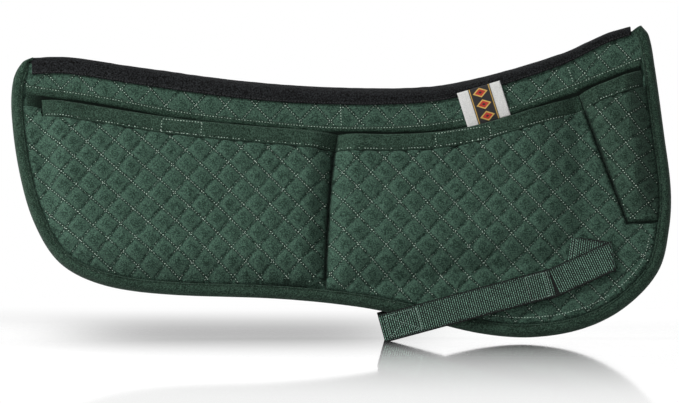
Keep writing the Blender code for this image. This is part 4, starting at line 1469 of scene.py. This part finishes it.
for side in SIDES:
    anchor = webbing_piece(f"{side}_strap_anchor_webbing", side, anchor_strip, ANCHOR_LAYER)
    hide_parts(f"{side}_strap_anchor")
    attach(anchor, f"{side}_side")
    lead = webbing_piece(f"{side}_strap_lead_webbing", side, lead_strip,
                         [CREASE_LEVEL + n for n in LEAD_LAYER], -LEAD_LENGTH + 0.6)
    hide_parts(f"{side}_strap_lead")
    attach(lead, f"{side}_strap")
    arm = webbing_piece(f"{side}_strap_arm_webbing", side, arm_strip, [CREASE_LEVEL + n for n in ARM_LAYER])
    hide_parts(f"{side}_strap_arm")
    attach(arm, f"{side}_strap")

    # The fold itself: a half round of webbing about the crease, from the anchor's face to the lead's
    half_crease = WEBBING / 2 / math.sin(CREASE_TURN - LEAD_TURN)
    along_crease = np.linspace(half_crease, -half_crease, 34)[:, None]
    angle = np.linspace(-math.pi / 2, math.pi / 2, 18)[None]
    ridge, _ = ribbed(angle * 2.2 + 0.81 + 0 * along_crease, along_crease + 0 * angle)

    def fold_points(radius):
        """Half circles about the crease, in the plane across it."""
        u = CREASE[0] + along_crease * math.cos(CREASE_TURN) + radius * np.cos(angle) * math.sin(CREASE_TURN)
        v = CREASE[1] + along_crease * math.sin(CREASE_TURN) - radius * np.cos(angle) * math.cos(CREASE_TURN)
        return place(side, u, v, CREASE_LEVEL + radius * np.sin(angle))

    fold = cloth_piece(f"{side}_strap_fold", grid_squares(*ridge.shape), fold_points(1.45 + 0.22 * ridge),
                       fold_points(0.25 + 0 * ridge), paired(angle * 2, along_crease) * MM, webbing_nylon,
                       side == "right", rib=ridge.ravel())
    low = place(side, *CREASE, ANCHOR_LAYER[0] + 0.3)
    high = place(side, *CREASE, CREASE_LEVEL + 1.1)
    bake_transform(fold)

    for kind, (u, v, along_strip, across_strip) in patch_strips.items():
        middle_along = (along_strip.min() + along_strip.max()) / 2
        rim = np.minimum(np.ptp(along_strip) / 2 - np.abs(along_strip - middle_along),
                         PATCH_HEIGHT / 2 - np.abs(across_strip))
        loops = 0.2 * bumps(along_strip, across_strip)
        low_face = CREASE_LEVEL + PATCH_LAYER[1] - 0.1 - (0.6 + loops) * np.sqrt(np.clip(rim, 0, 1))
        patch = side_cloth(f"{side}_strap_{kind}", side, (u.ravel(), v.ravel(), grid_squares(*u.shape)),
                           np.full(u.size, CREASE_LEVEL + PATCH_LAYER[1] + 0.2), low_face.ravel(), hook_loop)
        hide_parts(f"{side}_strap_{kind}_patch")
        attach(patch, f"{side}_strap")

    arm_top = CREASE_LEVEL + ARM_LAYER[1] - STRAP_SUNK
    thread = sew(f"{side}_strap_arm_thread", side, *arm_rows, lambda u, v: arm_top + 0 * u, STRAP_STITCH,
                 STRAP_THREAD * MM, webbing_thread)
    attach(thread, f"{side}_strap")
    anchor_top = ANCHOR_LAYER[1] - STRAP_SUNK
    thread = sew(f"{side}_strap_anchor_thread", side, *anchor_rows, lambda u, v: anchor_top + 0 * u,
                 STRAP_STITCH, STRAP_THREAD * MM, webbing_thread)
    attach(thread, f"{side}_side")


# Woven label.
# Satin woven label, ends turned under and sewn over the tape and the facing on the right side.
# Its own plain pattern: a black field with red lozenges edged in gold, between white ends.

LABEL_TOP = np.array([(56.0, -56.0), (94.0, -46.5)])
LABEL_HEIGHT = 32.5
LABEL = (11.1, 11.75)
LABEL_ENDS = (0.24, 0.76)
LABEL_WIDTH = 39.0
LABEL_STITCH = 2.2
LABEL_THREAD = 0.2
LABEL_WHITE = (0.78, 0.78, 0.76)
LABEL_BLACK = (0.012, 0.011, 0.012)
LINE_GOLD = (0.62, 0.40, 0.09)
EDGE_GOLD = (0.70, 0.46, 0.12)
LOZENGE_RED = (0.50, 0.030, 0.018)
LOZENGE_HEART = (0.015, 0.012, 0.012)
THREAD_WHITE = (0.7, 0.7, 0.68)


def label_satin(name):
    """Woven pattern in the label's own cut, 0 to 1 both ways: white ends, a black field, three red lozenges
    with a gold edge, gold lines beside the field, all on fine satin ribs."""
    material, wire = new_material(name)
    u, v = wire.cut_places()
    body = wire.node("TexCoord", output="Object")
    across = (u - 0.5).size()
    field = (((LABEL_ENDS[1] - 0.5) - across) * 60.0).held()
    down = wire.maths("FRACT", v * 3.0)
    tall = (down - 0.5).size()
    lozenge = across * 5.6 + tall * 2.3
    gold = ((1.0 - lozenge) * 14.0).held()
    red = ((0.74 - lozenge) * 14.0).held()
    heart = ((0.28 - lozenge) * 14.0).held()
    line = ((0.012 - (across - 0.222).size()) * 200.0).held()
    ribs = (v * (2 * math.pi / 0.016)).sine()
    fibres = wire.noise(body, 1400.0, 2.0)
    shade = wire.mixed(field, colour_of(LABEL_WHITE), colour_of(LABEL_BLACK))
    for part, colour in ((line, LINE_GOLD), (gold, EDGE_GOLD), (red, LOZENGE_RED), (heart, LOZENGE_HEART)):
        shade = wire.mixed(part * field, shade, colour_of(colour))
    toned_colour = wire.mixed(((fibres - 0.5) * 0.6 + ribs * 0.08 + 0.25).held(), shade, colour_of((0.0, 0.0, 0.0)))
    dress(wire, toned_colour, 0.5 - fibres * 0.2, ribs + fibres, 0.00012, Specular_IOR_Level=0.45, Sheen_Weight=0.1)
    return material


label_cloth = label_satin("woven_label_satin")
label_along = LABEL_TOP[1] - LABEL_TOP[0]
label_down = np.array([label_along[1], -label_along[0]])
label_down = label_down / np.linalg.norm(label_down) * LABEL_HEIGHT
columns = np.linspace(0, 1, 52)[None]
rows = np.linspace(0, 1, 44)[:, None]
u = LABEL_TOP[0, 0] + label_along[0] * columns + label_down[0] * rows
v = LABEL_TOP[0, 1] + label_along[1] * columns + label_down[1] * rows
along = np.minimum(columns, 1 - columns) * LABEL_WIDTH
rim = np.minimum(along, np.minimum(rows, 1 - rows) * LABEL_HEIGHT)
raised = LABEL[1] - 0.35 * (1 - np.sqrt(np.clip(rim / 0.8, 0, 1))) - 0.15 * np.exp(-((rim - 1.6) / 0.6) ** 2)
raised = raised + 0.10 * ripples(u, v, 97, 9, 40) * np.clip(rim / 3, 0, 1)
label = cloth_piece("sewn_label", grid_squares(*u.shape), place("right", u, v, raised),
                    place("right", u, v, np.full(u.shape, LABEL[0])), paired(columns, rows), label_cloth)
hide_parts("woven_label")
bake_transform(label)
corners = np.array([(u[r, c], v[r, c]) for r, c in ((2, 2), (2, -3), (-3, -3), (-3, 2), (2, 2))])
label_rows = np.concatenate([stitch_places(corners[k:k + 2], LABEL_STITCH) for k in (1, 3)], axis=1)
white_thread = sewing_thread("white_thread", THREAD_WHITE)
thread = sew("sewn_label_thread", "right", *label_rows, lambda u, v: 0 * u + LABEL[1] - 0.05, LABEL_STITCH,
             LABEL_THREAD * MM, white_thread)
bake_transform(thread)


# The studio.
# A pale glossy table top that reflects the pad faintly, white all round it, and soft light from the left.
# A small grey card stands behind the pad; only its soft reflection in the table is seen, as a painted shadow
# under the pad.

CENTRE = (-0.0439, 0.0, -0.0939)
CAMERA_AWAY = 7.0
FRAME_WIDTH = 0.5907
NEAR_FACE = -0.05
SENSOR = 36.0
TABLE_SIZE = 12.0
TABLE_PALE = (0.72, 0.72, 0.72)
WHITE = (1.0, 1.0, 1.0)
ROOM_LIGHT = 0.18
CARD_GREY = (0.25, 0.25, 0.25)
CARD_BACK = 3.0
CARD_CENTRE = -0.168
CARD_HALF = 0.32
CARD_WIDE = 0.216
CARD_HEIGHT = 0.11
CARD_MIDDLE = 0.034
CARD_SOFT = 0.026
LAMPS = {
    "key_lamp": ((-1.70, -0.98, 1.32), 0.60, 88.0),
    "fill_lamp": ((-0.20, -2.3, 0.35), 0.6, 11.0),
    "back_lamp": ((1.2, 2.2, 1.5), 1.2, 60.0),
}

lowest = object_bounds()[0].z


def flat_sheet(name, corners, material):
    """One flat square between four corners, which is no part of the pad."""
    mesh = bpy.data.meshes.new(name)
    mesh.from_pydata(corners, [], [(0, 1, 2, 3)])
    mesh.materials.append(material)
    sheet = bpy.data.objects.new(name, mesh)
    bpy.context.scene.collection.objects.link(sheet)
    return sheet


# White far from the pad; nearer, a matt floor under a mirror that fades towards the camera and the back
material, wire = new_material("glossy_white_table")
here = wire.node("TexCoord", output="Object")
away = wire.node("VectorMath", {"operation": "LENGTH"}, {0: here}, "Value")
path = wire.node("LightPath", output="Is Camera Ray")
back = wire.node("SeparateXYZ", sockets={0: here}, output=1)
matt = wire.node("BsdfPrincipled", sockets={
    "Base Color": colour_of(TABLE_PALE), "Roughness": 1.0, "Specular IOR Level": 0.0})
white = wire.node("Emission", sockets={"Color": colour_of(WHITE), "Strength": 1.0})
mirror = wire.node("BsdfGlossy", sockets={"Color": colour_of(WHITE), "Roughness": 0.03})
far = ((away - 1.2) * 0.8).held()
ground = wire.node("MixShader", sockets={0: path * (far * (2.0 - far)), 1: matt, 2: white})
fade = (back * 0.38 + 1.0).held()
shiny = path * fade * (fade * 0.3 + 0.7) * (1.0 - back * 0.5).held()
both = wire.node("MixShader", sockets={0: shiny, 1: ground, 2: mirror})
wire.node("OutputMaterial", sockets={"Surface": both})
corners = [(-1, -1), (1, -1), (1, 1), (-1, 1)]
table = flat_sheet("table_top", [(TABLE_SIZE * x, TABLE_SIZE * y, lowest) for x, y in corners], material)

# Painted shadow: grey in the middle and clear towards its edges, as bell curves of the distances across and
# up
material, wire = new_material("painted_shadow_card")
here = wire.node("TexCoord", output="Object")
above = (wire.node("SeparateXYZ", sockets={0: here}, output=2) - (lowest + CARD_MIDDLE)) / CARD_SOFT
beside = (wire.node("SeparateXYZ", sockets={0: here}) - CARD_CENTRE) / CARD_WIDE
beside = beside * beside
dark = wire.maths("EXPONENT", (above * above + beside * beside) * -1.0)
grey = wire.node("Emission", sockets={"Color": colour_of(CARD_GREY), "Strength": 1.0})
card_shader = wire.node("MixShader", sockets={0: dark, 1: wire.node("BsdfTransparent"), 2: grey})
wire.node("OutputMaterial", sockets={"Surface": card_shader})
corners = [(-1, 0), (1, 0), (1, 1), (-1, 1)]
card = flat_sheet("grey_card", [(CARD_CENTRE + CARD_HALF * x, CARD_BACK, lowest + CARD_HEIGHT * z)
                                for x, z in corners], material)
card.visible_camera = False
card.visible_diffuse = False
card.visible_shadow = False

world = bpy.data.worlds.new("white_studio")
bpy.context.scene.world = world
world.use_nodes = True
world.node_tree.nodes.clear()
wire = Wire(world.node_tree)
path = wire.node("LightPath", output="Is Camera Ray")
seen = (path + path.also("Is Glossy Ray") + path.also("Is Transmission Ray")).held()
dim = wire.node("Background", sockets={"Color": colour_of(WHITE), "Strength": ROOM_LIGHT})
white = wire.node("Background", sockets={"Color": colour_of(WHITE), "Strength": 1.0})
wire.node("OutputWorld", sockets={"Surface": wire.node("MixShader", sockets={0: seen, 1: dim, 2: white})})


def soft_lamp(name, location, size, power):
    """Square area lamp turned to the pad."""
    lamp = bpy.data.lights.new(name, "AREA")
    lamp.size = size
    lamp.energy = power
    holder = bpy.data.objects.new(name, lamp)
    holder.visible_camera = False
    holder.visible_glossy = False
    holder.location = location
    from_lamp = np.array(CENTRE) - np.array(location)
    flat = math.hypot(from_lamp[0], from_lamp[1])
    holder.rotation_euler = (math.atan2(flat, -from_lamp[2]), 0.0, math.atan2(-from_lamp[0], from_lamp[1]))
    bpy.context.scene.collection.objects.link(holder)


for name, (location, size, power) in LAMPS.items():
    soft_lamp(name, location, size, power)

camera = bpy.data.cameras.new("camera")
camera.type = "PERSP"
camera.sensor_width = SENSOR
camera.lens = SENSOR * (CAMERA_AWAY + NEAR_FACE) / FRAME_WIDTH
camera.clip_end = 100.0
camera_holder = bpy.data.objects.new("camera", camera)
camera_holder.location = (CENTRE[0], -CAMERA_AWAY, CENTRE[2])
camera_holder.rotation_euler = (math.radians(90), 0.0, 0.0)
bpy.context.scene.collection.objects.link(camera_holder)
bpy.context.scene.camera = camera_holder
bpy.context.scene.view_settings.view_transform = "Standard"
